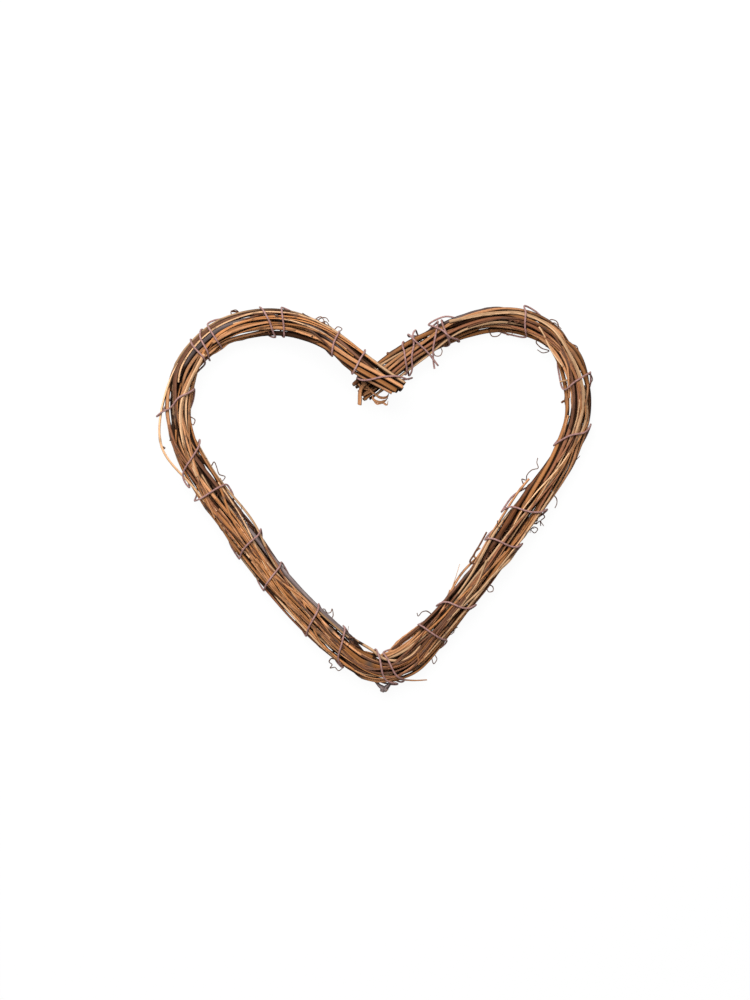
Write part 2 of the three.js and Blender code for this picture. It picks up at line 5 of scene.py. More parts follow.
import bpy
import numpy as np
from bpy.props import FloatProperty, FloatVectorProperty, IntProperty, PointerProperty
from mathutils.kdtree import KDTree
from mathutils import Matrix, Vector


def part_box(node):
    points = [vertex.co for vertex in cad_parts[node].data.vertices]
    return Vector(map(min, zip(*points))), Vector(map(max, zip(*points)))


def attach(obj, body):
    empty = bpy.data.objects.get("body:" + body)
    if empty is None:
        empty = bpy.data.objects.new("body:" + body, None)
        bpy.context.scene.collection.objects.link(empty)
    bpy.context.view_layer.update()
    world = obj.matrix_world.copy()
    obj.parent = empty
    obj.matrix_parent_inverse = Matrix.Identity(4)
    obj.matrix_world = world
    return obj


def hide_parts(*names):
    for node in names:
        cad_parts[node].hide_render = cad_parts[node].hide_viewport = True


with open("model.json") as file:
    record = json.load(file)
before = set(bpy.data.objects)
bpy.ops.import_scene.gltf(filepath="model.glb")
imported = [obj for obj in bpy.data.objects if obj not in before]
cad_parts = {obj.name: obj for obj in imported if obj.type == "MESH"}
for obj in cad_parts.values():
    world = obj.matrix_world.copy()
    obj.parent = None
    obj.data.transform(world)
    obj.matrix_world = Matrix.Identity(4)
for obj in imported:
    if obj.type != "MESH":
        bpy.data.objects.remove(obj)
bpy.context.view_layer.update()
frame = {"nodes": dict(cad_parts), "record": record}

bl_info = {
    "name": "Heart Wreath",
    "version": (1, 0, 0),
    "blender": (4, 5, 0),
    "location": "View3D > Sidebar > Wreath",
    "description": "Bark, binding wire, small growth and stage for a heart wreath of dry vines",
    "category": "Object",
}

# Metres, +Z up. The wreath lies flat, front up, with the heart's point towards -Y.
SLOT_OF = {part["node"]: part["material_slot"] for part in frame["record"]["subparts"]}
MM = 0.001
# Numbers that the random draws start from: one for all, and one for each kind of small piece
SEED = 7
STUB_DRAWS = 500
TENDRIL_DRAWS = 600
SHOOT_DRAWS = 700
BARK_DRAWS = 800
SLIM_DRAWS = 900
UPRIGHT = np.array([0.0, 0.0, 1.0])
# Distances are divided by no less than this
CLOSEST = 1e-6

# Corners of each ring of the solids
VINE_CORNERS = 5
WIRE_CORNERS = 4
STEMS = [node for node in sorted(SLOT_OF) if node not in ("binding_wire", "forked_stub")]

# How many of the nearest steps of the vines count: at a mark or a joint of the wire, round the wire,
# round a vine, under what rests on the vines, and for the middle of the bundle
NEAR_MARK = 6
NEAR_WIRE = 32
NEAR_VINE = 36
NEAR_BELOW = 40
NEAR_BUNDLE = 60
# Distance from the middle of the bundle from which on a place is on its outside
OUTSIDE = 0.004

# Knots: the most on a vine, the clear run at its ends, the rises of common ones and the rise of marked ones
MOST_KNOTS = 40
KNOT_MARGIN = 0.006
KNOT_RISES = (0.3, 0.8)
MARKED_RISE = 1.3

# Cut ends: the depth of the bevel, and the ring round the pith and the rim, as shares of the radius
END_DEPTH = 0.12
END_RINGS = np.array([0.4, 0.9])
# Where round the stem a sloping cut is longest, in radians
CUT_TURN = 1.0
# Edges sharper than this stay sharp
SHARP_ANGLE = math.radians(50)

# Bark: the pitch of its roughness, half the lengths of knots and buds, the pitch of its slow change of tone
ROUGH_PITCH = 0.006
KNOT_LENGTHS = (0.0014, 0.0024)
BUD_LENGTH = 0.002
TONE_PITCH = 0.07

# Thin shoots: lengths, radii at both ends as shares of their own, the least that the ways of two vines
# agree, corners of each ring, and the pitches of their wander, their roughness and their change of tone
SLIM_LENGTHS = (0.05, 0.15)
SLIM_TAPER = (1.1, 0.7)
SLIM_ALIGNED = 0.85
SLIM_SIDES = 7
SLIM_WANDER_PITCH = 0.02
SLIM_ROUGH_PITCH = 0.004
SLIM_TONE_PITCH = 0.03
# Their knots: the least run before the first, the gap between them, and half their length
SLIM_KNOT_START = 0.005
SLIM_KNOT_GAP = 0.03
SLIM_KNOT_LENGTH = 0.0012

# Strips of bark: lengths, steps of a vine left free before and after one and in all, rise off the vine at
# the held end and how much more at the loose one, thickness, corners of each ring, pitch of their roll and
# of their ragged edge, and the run over which an end narrows
STRIP_LENGTHS = (0.02, 0.05)
STRIP_MARGINS = (10, 5)
STRIP_SPARE = 20
STRIP_LIFTS = (0.0004, 0.0018)
STRIP_THICKNESS = 0.0002
STRIP_SIDES = 8
ROLL_PITCH = 0.012
EDGE_PITCH = 0.003
NARROWING = 0.004

# Shreds of bark: the lowest that vines hold one, how far above them it lies and bends up, places tried
# beside a vine and how far aside they are, how many lie at each marked place, and radii
SHRED_FLOOR = 0.006
SHRED_GAP = 0.0001
SHRED_BEND = 0.0002
SHRED_TRIES = 4
SHRED_ASIDE = 0.003
SHREDS_AT_MARK = 16
SHRED_RADII = (0.00015, 0.0004)

# How far the places of a tendril stray in height
TENDRIL_STRAY = 0.002

# Corners of each ring and the distance between the rings of small pieces
TENDRIL_RINGS = (6, 0.0006)
SHOOT_RINGS = (8, 0.0008)
TWIG_RINGS = (6, 0.0011)
SHRED_RINGS = (4, 0.004)
STUB_RINGS = (12, 0.0005)
STRIP_STEP = 0.0012
PEELING_STEP = 0.0009

# Values that the bark reads at each point, besides its own coordinates round and along the stem
POINT_VALUES = ("knot", "cut", "shade", "gloom")
# Dry bark: its shine and the depth of its relief
BARK_SHINE = 0.04
BARK_RELIEF = 0.0004
# Gains of its dark and its pale streaks with the grey added to the pale ones, and of fresh streaks
DARK_GAIN = 0.58
PALE_GAIN = 1.55
PALE_GREY = 0.15
FRESH_GAINS = (0.5, 1.6)
# How far the tones of vines differ and how far each one's tone changes along it, and the gains of the
# darkest and the palest
TONE_SPREAD = 0.8
TONE_CHANGE = 0.4
TONE_GAINS = (0.62, 1.32)
# How far stains and knots show, and the gain of stains
STAIN_SHARE = 0.22
STAIN_GAIN = 0.25
KNOT_SHARE = 0.75
# How shut in a place is where the painted shade between vines starts and where it is full, and how far that
# painted shade shows
PAINTED_SHADE_RANGE = (0.06, 0.5)
PAINTED_SHADE_SHARE = 0.97
# Paper on the wire: its shine, the depth of its relief, its grain and the patches it is rubbed in, gains
# of its fibres and its seam, where in a turn the seam starts, and how far rubbed places show
PAPER_SHINE = 0.2
PAPER_RELIEF = 0.0002
PAPER_GRAIN = {"Around": 2.0, "Along": 350.0, "Offset": 31.0}
PAPER_PATCHES = {"Patch": 60.0}
FIBRE_GAINS = (0.7, 1.3)
SEAM_GAIN = 0.6
SEAM_START = 0.85
RUBBED_SHARE = 0.5
# Roughness of smooth and of rough fibres, and of the floor
DULLNESS = (0.5, 0.85)
FLOOR_DULLNESS = 0.9

# Marks on the wreath's front are places in a view from above, in units of 300/432 mm from the top left
MARK = 300 / 432 * MM
MARK_MIDDLE = (375, 500)
MIDDLE_PLACE = (-0.54 * MM, 0.13 * MM)

# Curling tendrils: height above the ground in mm, then the marks they pass. Those without a height lie
# on the vines.
TENDRILS = [
    (9, [(211, 466), (214, 462), (217, 468), (219, 474), (225, 477), (222, 481), (220, 478)]),
    (9, [(320, 611), (324, 609), (327, 613), (331, 612), (332, 609), (333, 616), (328, 621), (326, 616)]),
    (7, [(336, 660), (331, 659), (329, 662), (332, 665), (330, 668), (335, 668), (338, 671), (343, 668)]),
    (9, [(432, 615), (426, 611), (422, 612), (418, 616), (417, 613)]),
    (9, [(524, 485), (522, 479), (526, 480), (527, 475), (532, 470), (538, 468), (537, 462), (538, 458)]),
    (8, [(553, 494), (557, 499), (557, 504), (555, 508)]),
    (8, [(540, 512), (545, 517), (541, 521), (544, 526)]),
    (8, [(484, 588), (488, 585), (493, 587), (493, 591), (489, 592), (487, 589)]),
    (8, [(433, 645), (435, 652), (432, 658), (434, 664), (437, 660), (435, 655)]),
    (12, [(313, 323), (316, 319), (321, 317), (324, 321), (325, 326), (321, 325)]),
    (12, [(328, 327), (333, 331), (338, 327), (342, 329), (338, 333)]),
    (12, [(548, 326), (550, 320), (556, 321), (558, 327), (553, 330), (548, 327), (553, 323), (561, 329)]),
    (10, [(489, 330), (492, 336), (498, 336), (502, 331), (497, 331)]),
    (10, [(505, 330), (507, 335), (512, 334), (511, 330)]),
    (14, [(434, 350), (438, 347), (442, 351), (440, 356), (435, 356), (433, 351)]),
    (10, [(585, 374), (591, 375), (592, 381), (588, 385), (586, 379), (590, 372)]),
    (12, [(536, 342), (541, 348), (549, 351), (543, 353), (537, 350)]),
    (11, [(560, 333), (566, 338), (563, 343), (568, 346)]),
    (11, [(571, 344), (577, 347), (578, 352), (574, 349)]),
    (10, [(186, 412), (191, 417), (195, 420), (193, 425), (190, 421)]),
    (10, [(188, 378), (192, 382), (195, 377)]),
    (10, [(231, 312), (236, 310), (239, 313), (234, 314)]),
    (None, [
        (222, 525), (226, 527), (227, 532), (231, 533), (232, 538), (236, 541), (239, 547), (244, 550),
        (247, 554),
    ]),
    (None, [(508, 323), (512, 321), (516, 324), (520, 322), (524, 325)]),
    (13, [(317, 320), (321, 323), (326, 322), (329, 326), (324, 328), (319, 325)]),
    (13, [(316, 325), (320, 319), (326, 318), (329, 322)]),
    (8, [(530, 530), (534, 527), (538, 529), (535, 533), (531, 530)]),
    (8, [(536, 524), (540, 521), (541, 526)]),
]

# Side shoots: tone, radii at both ends in mm, heights at both ends in mm, then the marks they pass. Those
# without heights lie on the vines.
SHOOTS = [
    ("tan_vine", (0.8, 0.45), (9, 9), [(392, 677), (401, 679.5), (413, 680.5), (427, 680)]),
    ("dark_vine", (0.75, 0.6), (12, 13), [(470, 562), (473.5, 555), (480, 544), (486.5, 532)]),
    ("straw_vine", (0.35, 0.2), (11, 12), [(450, 596), (452, 588), (456, 576), (459.6, 564)]),
    ("straw_vine", (0.8, 0.7), (12, 11), [(572, 381), (567, 380.5), (559.6, 382)]),
    ("dark_vine", (0.9, 0.7), (10, 8), [(240, 318), (237, 312), (231, 311)]),
    ("orange_vine", (0.8, 0.6), None, [(419, 664), (418, 658), (417.5, 651)]),
    ("straw_vine", (0.9, 0.7), None, [(486, 560), (476, 584), (466, 598), (456, 611), (447, 620)]),
    ("straw_vine", (1.1, 0.9), None, [(522, 545), (508, 561), (493, 575), (478, 592), (462, 606)]),
    ("dark_vine", (0.9, 0.7), (12.8, 12), [(161.5, 446.5), (165.2, 448.5)]),
    ("tan_vine", (0.9, 0.6), (9, 10), [(446, 600), (449, 594), (450, 590)]),
    ("tan_vine", (0.7, 0.5), (12, 12), [(474, 556), (476, 551), (480, 548)]),
    ("straw_vine", (1.3, 1.1), None, [
        (449, 322.6), (489, 315), (520, 314.5), (536, 319.7), (549.7, 328), (567, 352), (577, 372),
        (581.5, 390), (581, 410), (575, 434),
    ]),
    ("straw_vine", (0.7, 0.6), None, [(538, 328), (542, 334), (550, 350), (562, 367)]),
    ("tan_vine", (1.2, 1.0), (10, 10), [
        (381, 656.5), (393, 652), (402, 646.5), (411, 640), (420, 632), (429, 623),
    ]),
    ("orange_vine", (1.1, 1.0), (9, 9), [
        (386, 657.5), (398, 651.5), (408, 644.5), (418, 636.5), (430, 625.5),
    ]),
    ("tan_vine", (1.1, 0.9), (9, 9), [(390, 652), (398, 646), (409, 637.5), (421, 628.5), (427, 623)]),
    ("tan_vine", (0.9, 0.8), None, [(559, 352), (566, 366), (568, 382), (569, 398)]),
    ("straw_vine", (1.2, 1.0), None, [
        (205, 355), (189, 387), (183, 403), (182, 426), (184.4, 443.5), (198, 476.8),
    ]),
    ("tan_vine", (1.2, 1.0), None, [(214, 343.6), (230, 334.4), (248.7, 327.6), (271.7, 323)]),
]

# Shares of the tones among the thin shoots
SLIM_TONES = {
    "tan_vine": 0.28,
    "straw_vine": 0.14,
    "orange_vine": 0.28,
    "red_vine": 0.18,
    "dark_vine": 0.12,
}

# Large knots on the topmost vine at these marks
KNOTS = [
    (175, 415), (185, 442), (171, 438), (201, 507), (321, 633), (329, 630), (369, 663), (226, 530),
    (555, 487), (549, 484), (449, 627), (463, 604), (466, 573), (526, 539), (448, 642), (419, 666),
]

# Places where dark shreds of bark lie thick
SHREDS = [
    (505, 531), (512, 534), (491, 559), (497, 555), (531, 531), (536, 524), (449, 628), (323, 321),
    (236, 510), (241, 516), (244, 522), (214, 494), (347, 641), (350, 645), (571, 366), (573, 378),
]

# Loose bits in the cleft under the cut ends: half width and thickness in mm, heights in mm, marks
PEELINGS = [
    (0.9, 0.22, (17, 15), [(362, 383), (368, 388), (374, 394), (381, 398), (387, 397), (389, 393)]),
    (0.9, 0.22, (13, 12), [(372, 394), (374, 400), (379, 402), (385, 401), (388, 398)]),
    (0.7, 0.2, (11, 12), [(373, 398), (377, 404), (383, 403), (387, 405), (388, 401)]),
    (0.6, 0.2, (15, 16), [(356, 381), (362, 388), (371, 391)]),
]

# Arms of the forked stub, each with a lump at its foot, from the middle of its solid, and their radii, all
# in mm
STUB_ARMS = [
    [(-5.6, 5.4, -1), (-3.0, 2.4, 0), (-0.5, 0.0, 0), (-1.0, -1.8, -0.3)],
    [(5.2, 5.4, -1), (3.3, 2.6, 0), (1.2, 0.0, 0), (2.2, -1.0, 0.3)],
]
STUB_RADII = [1.0, 1.2, 2.0, 1.5]


class Stem(NamedTuple):
    """One vine: its node, its even course with the solid's chord beside it, its radius, and the places and
    rises of its knots."""

    node: str
    course: np.ndarray
    chord: np.ndarray
    radius: np.ndarray
    along: np.ndarray
    knots: np.ndarray
    rises: np.ndarray


class Shoot(NamedTuple):
    """One thin shoot: its tone, its even course, its radius, and the places of its knots."""

    tone: str
    course: np.ndarray
    radius: np.ndarray
    along: np.ndarray
    knots: np.ndarray


class Bundle(NamedTuple):
    """All steps of a set of stems: their places, radii, ways along, stem numbers, and two trees to search
    them by, the second one by their place in a view from above."""

    spots: np.ndarray
    sizes: np.ndarray
    ways: np.ndarray
    owners: np.ndarray
    tree: KDTree
    plan: KDTree


class Bark(NamedTuple):
    """One kind of bark: its colour, the start of its grain, how far its bloom shows, how fast its grain
    changes along the stem, the strength of its relief, and the colour of its fresh stretches if any."""

    colour: tuple
    offset: float
    bloom: float
    along: float = 14.0
    relief: float = 0.4
    fresh: tuple = None


class Surface(NamedTuple):
    """Points, faces and the values that the bark reads at each point."""

    points: np.ndarray
    quads: np.ndarray
    fans: np.ndarray
    stem: np.ndarray
    knot: np.ndarray
    cut: np.ndarray
    shade: np.ndarray
    gloom: np.ndarray


# Reading the solids


def reach_rows(linked, start):
    """Rows of corners that each take in what the last row's edges newly reach."""
    rows, seen = [set(start)], set(start)
    while rows[-1]:
        fresh = set().union(*(linked[corner] for corner in rows[-1])) - seen
        seen |= fresh
        rows.append(fresh)
    return rows[:-1]


def solid_joints(node, corners):
    """Middle and radius of every ring of a swept solid, from one end to the other.

    A corner with the fewest edges lies in an end ring. The corners nearest it complete that ring, and each
    further ring is what the edges of the last one newly reach.
    """
    mesh = frame["nodes"][node].data
    spots = np.empty(3 * len(mesh.vertices))
    mesh.vertices.foreach_get("co", spots)
    spots, merged = np.unique(spots.reshape(-1, 3).round(6), axis=0, return_inverse=True)
    edges = np.empty(2 * len(mesh.edges), dtype=int)
    mesh.edges.foreach_get("vertices", edges)
    linked = [set() for _ in spots]
    for a, b in merged.ravel()[edges].reshape(-1, 2).tolist():
        linked[a].add(b)
        linked[b].add(a)
    end = min(range(len(linked)), key=lambda corner: len(linked[corner]))
    ring = np.argsort(np.linalg.norm(spots - spots[end], axis=1))[:corners]
    rows = reach_rows(linked, ring.tolist())
    if any(len(row) != corners for row in rows):
        raise RuntimeError(f"{node} isn't a row of rings of {corners} corners")
    rings = spots[np.array([sorted(row) for row in rows])]
    middles = rings.mean(axis=1)
    return middles, np.linalg.norm(rings - middles[:, None], axis=2).mean(axis=1)


def even_course(joints, values, step):
    """Even steps along the curve through the joints, the same steps along the chord, and the values there.

    Between two joints the curve is the cubic that has, at each, the slope of the parabola through it and
    its neighbours.
    """
    gaps = np.linalg.norm(np.diff(joints, axis=0), axis=1)
    knots = np.concatenate([[0.0], np.cumsum(gaps)])
    slopes = np.gradient(joints, knots, axis=0)
    along = np.linspace(0.0, knots[-1], max(4, round(knots[-1] / step)) + 1)
    k = np.clip(np.searchsorted(knots, along, side="right") - 1, 0, len(gaps) - 1)
    t = ((along - knots[k]) / gaps[k])[:, None]
    h = gaps[k][:, None]
    chord = joints[k] + t * (joints[k + 1] - joints[k])
    course = (
        (2 * t**3 - 3 * t**2 + 1) * joints[k]
        + (t**3 - 2 * t**2 + t) * h * slopes[k]
        + (3 * t**2 - 2 * t**3) * joints[k + 1]
        + (t**3 - t**2) * h * slopes[k + 1]
    )
    return course, chord, np.interp(along, knots, values), along


def drift(random, along, pitch, columns):
    """Smooth random wander from -1 to 1: random heights a pitch apart, eased from each to the next."""
    heights = random.uniform(-1, 1, (int(along[-1] / pitch) + 3, columns))
    step = along / pitch
    k = step.astype(int)
    ease = (step - k) ** 2 * (3 - 2 * (step - k))
    return heights[k] * (1 - ease)[:, None] + heights[k + 1] * ease[:, None]


def course_axes(course):
    """Unit way along a course, and two axes across it: one level, and the one nearest to upright."""
    way = np.gradient(course, axis=0)
    way /= np.linalg.norm(way, axis=1)[:, None]
    side = np.cross(way, UPRIGHT)
    side /= np.linalg.norm(side, axis=1)[:, None]
    return way, side, np.cross(side, way)


def carried_axes(course):
    """Axes across a course that curls freely: the first is square to it, and each next pair is the last one
    turned no more than the course turns."""
    way = np.gradient(course, axis=0)
    way /= np.linalg.norm(way, axis=1)[:, None]
    side = np.empty_like(way)
    last = np.cross(way[0], np.eye(3)[np.argmin(np.abs(way[0]))])
    for i, direction in enumerate(way):
        last = last - direction * (last @ direction)
        last /= np.linalg.norm(last)
        side[i] = last
    return way, side, np.cross(side, way)


def lay_stems(look):
    """Every vine's course with its knots: the solid's centre line, kinked at each knot and wandering."""
    stems = []
    for index, node in enumerate(STEMS):
        random = np.random.default_rng((SEED, index))
        joints, radii = solid_joints(node, VINE_CORNERS)
        course, chord, radius, along = even_course(joints, radii, look.step)
        gaps = random.uniform(0.6, 1.4, MOST_KNOTS) * look.knot_gap
        knots = np.cumsum(gaps) - random.uniform(0.2, 0.8) * look.knot_gap
        knots = knots[(knots > KNOT_MARGIN) & (knots < along[-1] - KNOT_MARGIN)]
        _, side, up = course_axes(course)
        kink = np.resize([1.0, -1.0], len(knots) + 2) * random.uniform(0.4, 1, len(knots) + 2)
        zigzag = np.interp(along, np.concatenate([[0], knots, [along[-1]]]), kink)
        waver = drift(random, along, look.wander_length, 2)
        course = course + side * (look.kink * zigzag + look.wander * waver[:, 0])[:, None]
        course = course + up * (look.wander * waver[:, 1])[:, None]
        rises = random.uniform(*KNOT_RISES, len(knots))
        stems.append(Stem(node, course, chord, radius, along, knots, rises))
    return mark_knots(stems)


def mark_knots(stems):
    """Stems with a large knot more on the topmost vine at each marked place."""
    bundle = gather(stems)
    first_steps = np.cumsum([0] + [len(stem.along) for stem in stems])
    for place in marks_to_places(KNOTS, (0, 0)):
        near = near_steps(bundle.plan, [place], NEAR_MARK)[0]
        step = near[np.argmax(bundle.spots[near, 2])]
        owner = bundle.owners[step]
        stem = stems[owner]
        knots = np.append(stem.knots, stem.along[step - first_steps[owner]])
        stems[owner] = stem._replace(knots=knots, rises=np.append(stem.rises, MARKED_RISE))
    return stems


def gather(stems):
    """The steps of all stems together. Each stem needs only its course and its radius."""
    spots = np.concatenate([stem.course for stem in stems])
    sizes = np.concatenate([stem.radius for stem in stems])
    ways = np.concatenate([course_axes(stem.course)[0] for stem in stems])
    owners = np.repeat(np.arange(len(stems)), [len(stem.course) for stem in stems])
    return Bundle(spots, sizes, ways, owners, search_tree(spots), search_tree(spots * (1, 1, 0)))


def is_vine(stem):
    """Whether a stem is one of the ordinary vines of the bundle."""
    return stem.node.startswith("vine_")


def search_tree(places):
    """Tree that finds the nearest of the places."""
    tree = KDTree(len(places))
    for i, place in enumerate(places):
        tree.insert(place, i)
    tree.balance()
    return tree


def near_steps(tree, places, count):
    """Numbers of the steps nearest each place, one row a place."""
    return np.array([[found[1] for found in tree.find_n(place, count)] for place in places])


def across_gap(bundle, near, places):
    """Ways from places to the steps near them, square to each step's own way along."""
    gap = bundle.spots[near] - places
    return gap - bundle.ways[near] * np.sum(gap * bundle.ways[near], axis=-1, keepdims=True)


def shut_in(stem, index, bundle, look):
    """How far other vines shut in each point of a vine's rings, from 0 to 1, as a grid of steps by sides.
    The bark is darkened by it as painted shade.

    Another vine counts by the sine of half the angle under which it shows from the point, times the cosine
    between its direction and the way the surface faces. The depth of the point below the lower of the two
    brims beside its vine counts too, as a share of the deepest that light comes in. The largest count
    stands.
    """
    sides = look.sides
    near = near_steps(bundle.tree, stem.course, NEAR_VINE)[:, None]
    _, side, up = course_axes(stem.course)
    angle = (2 * np.pi * np.arange(sides) / sides)[:, None]
    face = side[:, None] * np.cos(angle) + up[:, None] * np.sin(angle)
    points = stem.course[:, None] + face * stem.radius[:, None, None]
    gap = across_gap(bundle, near, points[:, :, None])
    distance = np.linalg.norm(gap, axis=-1)
    facing = np.clip(np.sum(gap * face[:, :, None], axis=-1) / np.maximum(distance, CLOSEST), 0, 1)
    count = facing * bundle.sizes[near] / np.maximum(distance, bundle.sizes[near])
    count = np.max(count * (bundle.owners[near] != index), axis=-1)
    heights = [
        [resting_height(bundle, stem.course + hand * reach * side, 0) for reach in look.brim_reach]
        for hand in (-1, 1)
    ]
    brim = np.max(heights, axis=1).min(axis=0)
    depth = (brim[:, None] - points[..., 2]) / look.brim_depth
    return np.maximum(count, np.clip(depth, 0, 1))


def resting_height(bundle, places, radius):
    """Lowest height at which a slim stem clears every vine below it, at each place in a view from above."""
    flat = places * (1, 1, 0)
    near = near_steps(bundle.plan, flat, NEAR_BELOW)
    gap = (bundle.spots[near] - flat[:, None])[..., :2]
    way = bundle.ways[near][..., :2]
    way = way / np.linalg.norm(way, axis=-1, keepdims=True)
    beside = np.linalg.norm(gap - way * np.sum(gap * way, axis=-1, keepdims=True), axis=-1)
    reach = bundle.sizes[near] + radius
    rise = np.sqrt(np.maximum(reach**2 - beside**2, 0))
    return np.max(np.where(beside < reach, bundle.spots[near][..., 2] + rise, radius), axis=-1)


# Surfaces


def tube_faces(rows, sides):
    """Quads between neighbouring rings and a fan of triangles to the pole at either end."""
    row, side = np.meshgrid(np.arange(rows - 1), np.arange(sides), indexing="ij")
    here, beside = row * sides + side, row * sides + (side + 1) % sides
    quads = np.stack([here, here + sides, beside + sides, beside], axis=-1).reshape(-1, 4)
    ring = np.arange(sides)
    after = (ring + 1) % sides
    last = (rows - 1) * sides
    first_fan = np.stack([np.full(sides, rows * sides), ring, after], axis=-1)
    last_fan = np.stack([np.full(sides, rows * sides + 1), last + after, last + ring], axis=-1)
    return quads, np.concatenate([first_fan, last_fan])


def tube(course, axes, radius, along, knot=None, shade=None, gloom=None, tilts=(0.0, 0.0), flat=1.0):
    """Closed tube: the ring's radius at every step and angle, carried along the course on two axes.

    radius and the painted shade are grids of steps by sides. Both ends get a bevelled rim, a ring round the
    pith and a pole, and are cut at a slope of tilts. flat squeezes the section on its second axis.
    """
    way, side, up = axes
    steps, sides = radius.shape
    knot = np.zeros(steps) if knot is None else knot
    shade = np.zeros(steps) if shade is None else shade
    gloom = np.zeros((steps, sides)) if gloom is None else gloom
    order = np.concatenate([[0, 0], np.arange(steps), [steps - 1, steps - 1]])
    shrink = np.concatenate([END_RINGS, np.ones(steps), END_RINGS[::-1]])
    cut = np.concatenate([[1.0, 0.7], np.zeros(steps), [0.7, 1.0]])
    out = np.concatenate([[-0.2, -1.0], np.zeros(steps), [1.0, 0.2]]) * END_DEPTH
    slope = np.concatenate([[tilts[0]] * 3, np.zeros(steps - 2), [tilts[1]] * 3])
    angle = 2 * np.pi * np.arange(sides) / sides
    wide = radius[order] * shrink[:, None]
    shift = out * radius.mean(axis=1)[order]
    lean = slope[:, None] * wide * np.cos(angle - CUT_TURN)
    points = (
        course[order][:, None]
        + way[order][:, None] * (shift[:, None] + lean)[..., None]
        + side[order][:, None] * (wide * np.cos(angle))[..., None]
        + up[order][:, None] * (flat * wide * np.sin(angle))[..., None]
    )
    poles = np.stack([course[0], course[-1]])
    quads, fans = tube_faces(len(order), sides)
    stem = np.empty((len(order), sides, 3))
    stem[..., 0] = np.cos(angle) * shrink[:, None]
    stem[..., 1] = np.sin(angle) * shrink[:, None]
    stem[..., 2] = along[order][:, None]
    pole_stem = np.array([[0, 0, along[0]], [0, 0, along[-1]]])

    def at_points(values):
        """Values of the steps, given to every point of their rings and to the poles."""
        return np.concatenate([np.repeat(values[order], sides), values[[0, -1]]])

    return Surface(
        np.concatenate([points.reshape(-1, 3), poles]),
        quads,
        fans,
        np.concatenate([stem.reshape(-1, 3), pole_stem]),
        at_points(knot),
        np.concatenate([np.repeat(cut, sides), [1.0, 1.0]]),
        at_points(shade),
        np.concatenate([gloom[order].ravel(), gloom[[0, -1]].mean(axis=1)]),
    )


def joined(surfaces):
    """Several surfaces as one, each one's faces counted on from the points before it."""
    starts = np.cumsum([0] + [len(surface.points) for surface in surfaces[:-1]])
    fields = [np.concatenate(parts) for parts in zip(*surfaces)]
    fields[1] = np.concatenate([s.quads + start for s, start in zip(surfaces, starts)])
    fields[2] = np.concatenate([s.fans + start for s, start in zip(surfaces, starts)])
    return Surface(*fields)


def add_piece(name, surface, material):
    """Puts a surface into a mesh of its own, with its values as attributes, and fixes it to the wreath."""
    mesh = bpy.data.meshes.new(name)
    mesh.from_pydata(surface.points.tolist(), [], surface.quads.tolist() + surface.fans.tolist())
    mesh.polygons.foreach_set("use_smooth", np.ones(len(mesh.polygons), dtype=bool))
    stem = mesh.attributes.new("stem", "FLOAT_VECTOR", "POINT")
    stem.data.foreach_set("vector", surface.stem.ravel())
    for label in POINT_VALUES:
        values = mesh.attributes.new(label, "FLOAT", "POINT")
        values.data.foreach_set("value", getattr(surface, label))
    mesh.set_sharp_from_angle(angle=SHARP_ANGLE)
    mesh.materials.append(material)
    piece = bpy.data.objects.new(name, mesh)
    bpy.context.scene.collection.objects.link(piece)
    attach(piece, "root")
    return piece


def bark_surface(stem, index, bundle, look):
    """Vine: its radius times one plus the ridges, the swelling at each knot and a bud on one side of it.

    Ridges are two waves round the stem that turn slowly along it, and a smooth random roughness.
    """
    random = np.random.default_rng((SEED, index, 1))
    sides = look.sides
    angle = 2 * np.pi * np.arange(sides) / sides
    along = stem.along[:, None]
    old = SLOT_OF[stem.node] == "old_wood"
    turn, phase, phase_fine = random.uniform(-25, 25), *random.uniform(0, 2 * np.pi, 2)
    rough = drift(random, stem.along, ROUGH_PITCH, sides)
    rough = (rough + np.roll(rough, 1, axis=1)) / 2
    ridges = (
        0.4 * np.sin(3 * angle + phase + turn * along)
        + 0.3 * np.sin(5 * angle + phase_fine - 1.6 * turn * along)
        + (1.0 if old else 0.5) * rough
    )
    knot = np.zeros(len(stem.along))
    bud = np.zeros((len(stem.along), sides))
    for place, rise in zip(stem.knots, stem.rises):
        spread = random.uniform(*KNOT_LENGTHS) * (0.5 + rise)
        knot = np.maximum(knot, rise * np.exp(-(((stem.along - place) / spread) ** 2)))
        facing = random.uniform(0, 2 * np.pi)
        lobe = np.exp((np.cos(angle - facing) - 1) / 0.3)
        bud += random.uniform(0.2, 1) * np.exp(-(((along - place - spread) / BUD_LENGTH) ** 2)) * lobe
    radius = (stem.radius * (1 + look.fullness))[:, None] * (
        1 + look.ridge * (1.6 if old else 1) * ridges + look.swell * knot[:, None] + look.bud * bud
    )
    shade = random.uniform(-TONE_SPREAD, TONE_SPREAD)
    shade = np.clip(shade + TONE_CHANGE * drift(random, stem.along, TONE_PITCH, 1)[:, 0], -1, 1)
    if old:
        pale = np.exp(-(((stem.along - look.pale_place) / look.pale_reach) ** 4))
        fresh = np.exp(-(((stem.along - look.fresh_place) / look.fresh_reach) ** 4))
        shade = 2 * pale - 1 - fresh
    tilts = random.uniform(-0.5, 0.5, 2)
    axes = course_axes(stem.course)
    # Painted shade: how far other vines shut in each point, which darkens the bark's colour
    gloom = shut_in(stem, index, bundle, look)
    return tube(stem.course, axes, radius, stem.along, knot, shade, gloom, tilts)


def marks_to_places(marks, heights):
    """Places of marks, with the height going evenly from the first to the last."""
    marks = np.array(marks, dtype=float)
    high = np.linspace(heights[0], heights[-1], len(marks)) * MM
    x = (marks[:, 0] - MARK_MIDDLE[0]) * MARK + MIDDLE_PLACE[0]
    y = (MARK_MIDDLE[1] - marks[:, 1]) * MARK + MIDDLE_PLACE[1]
    return np.stack([x, y, high], axis=1)


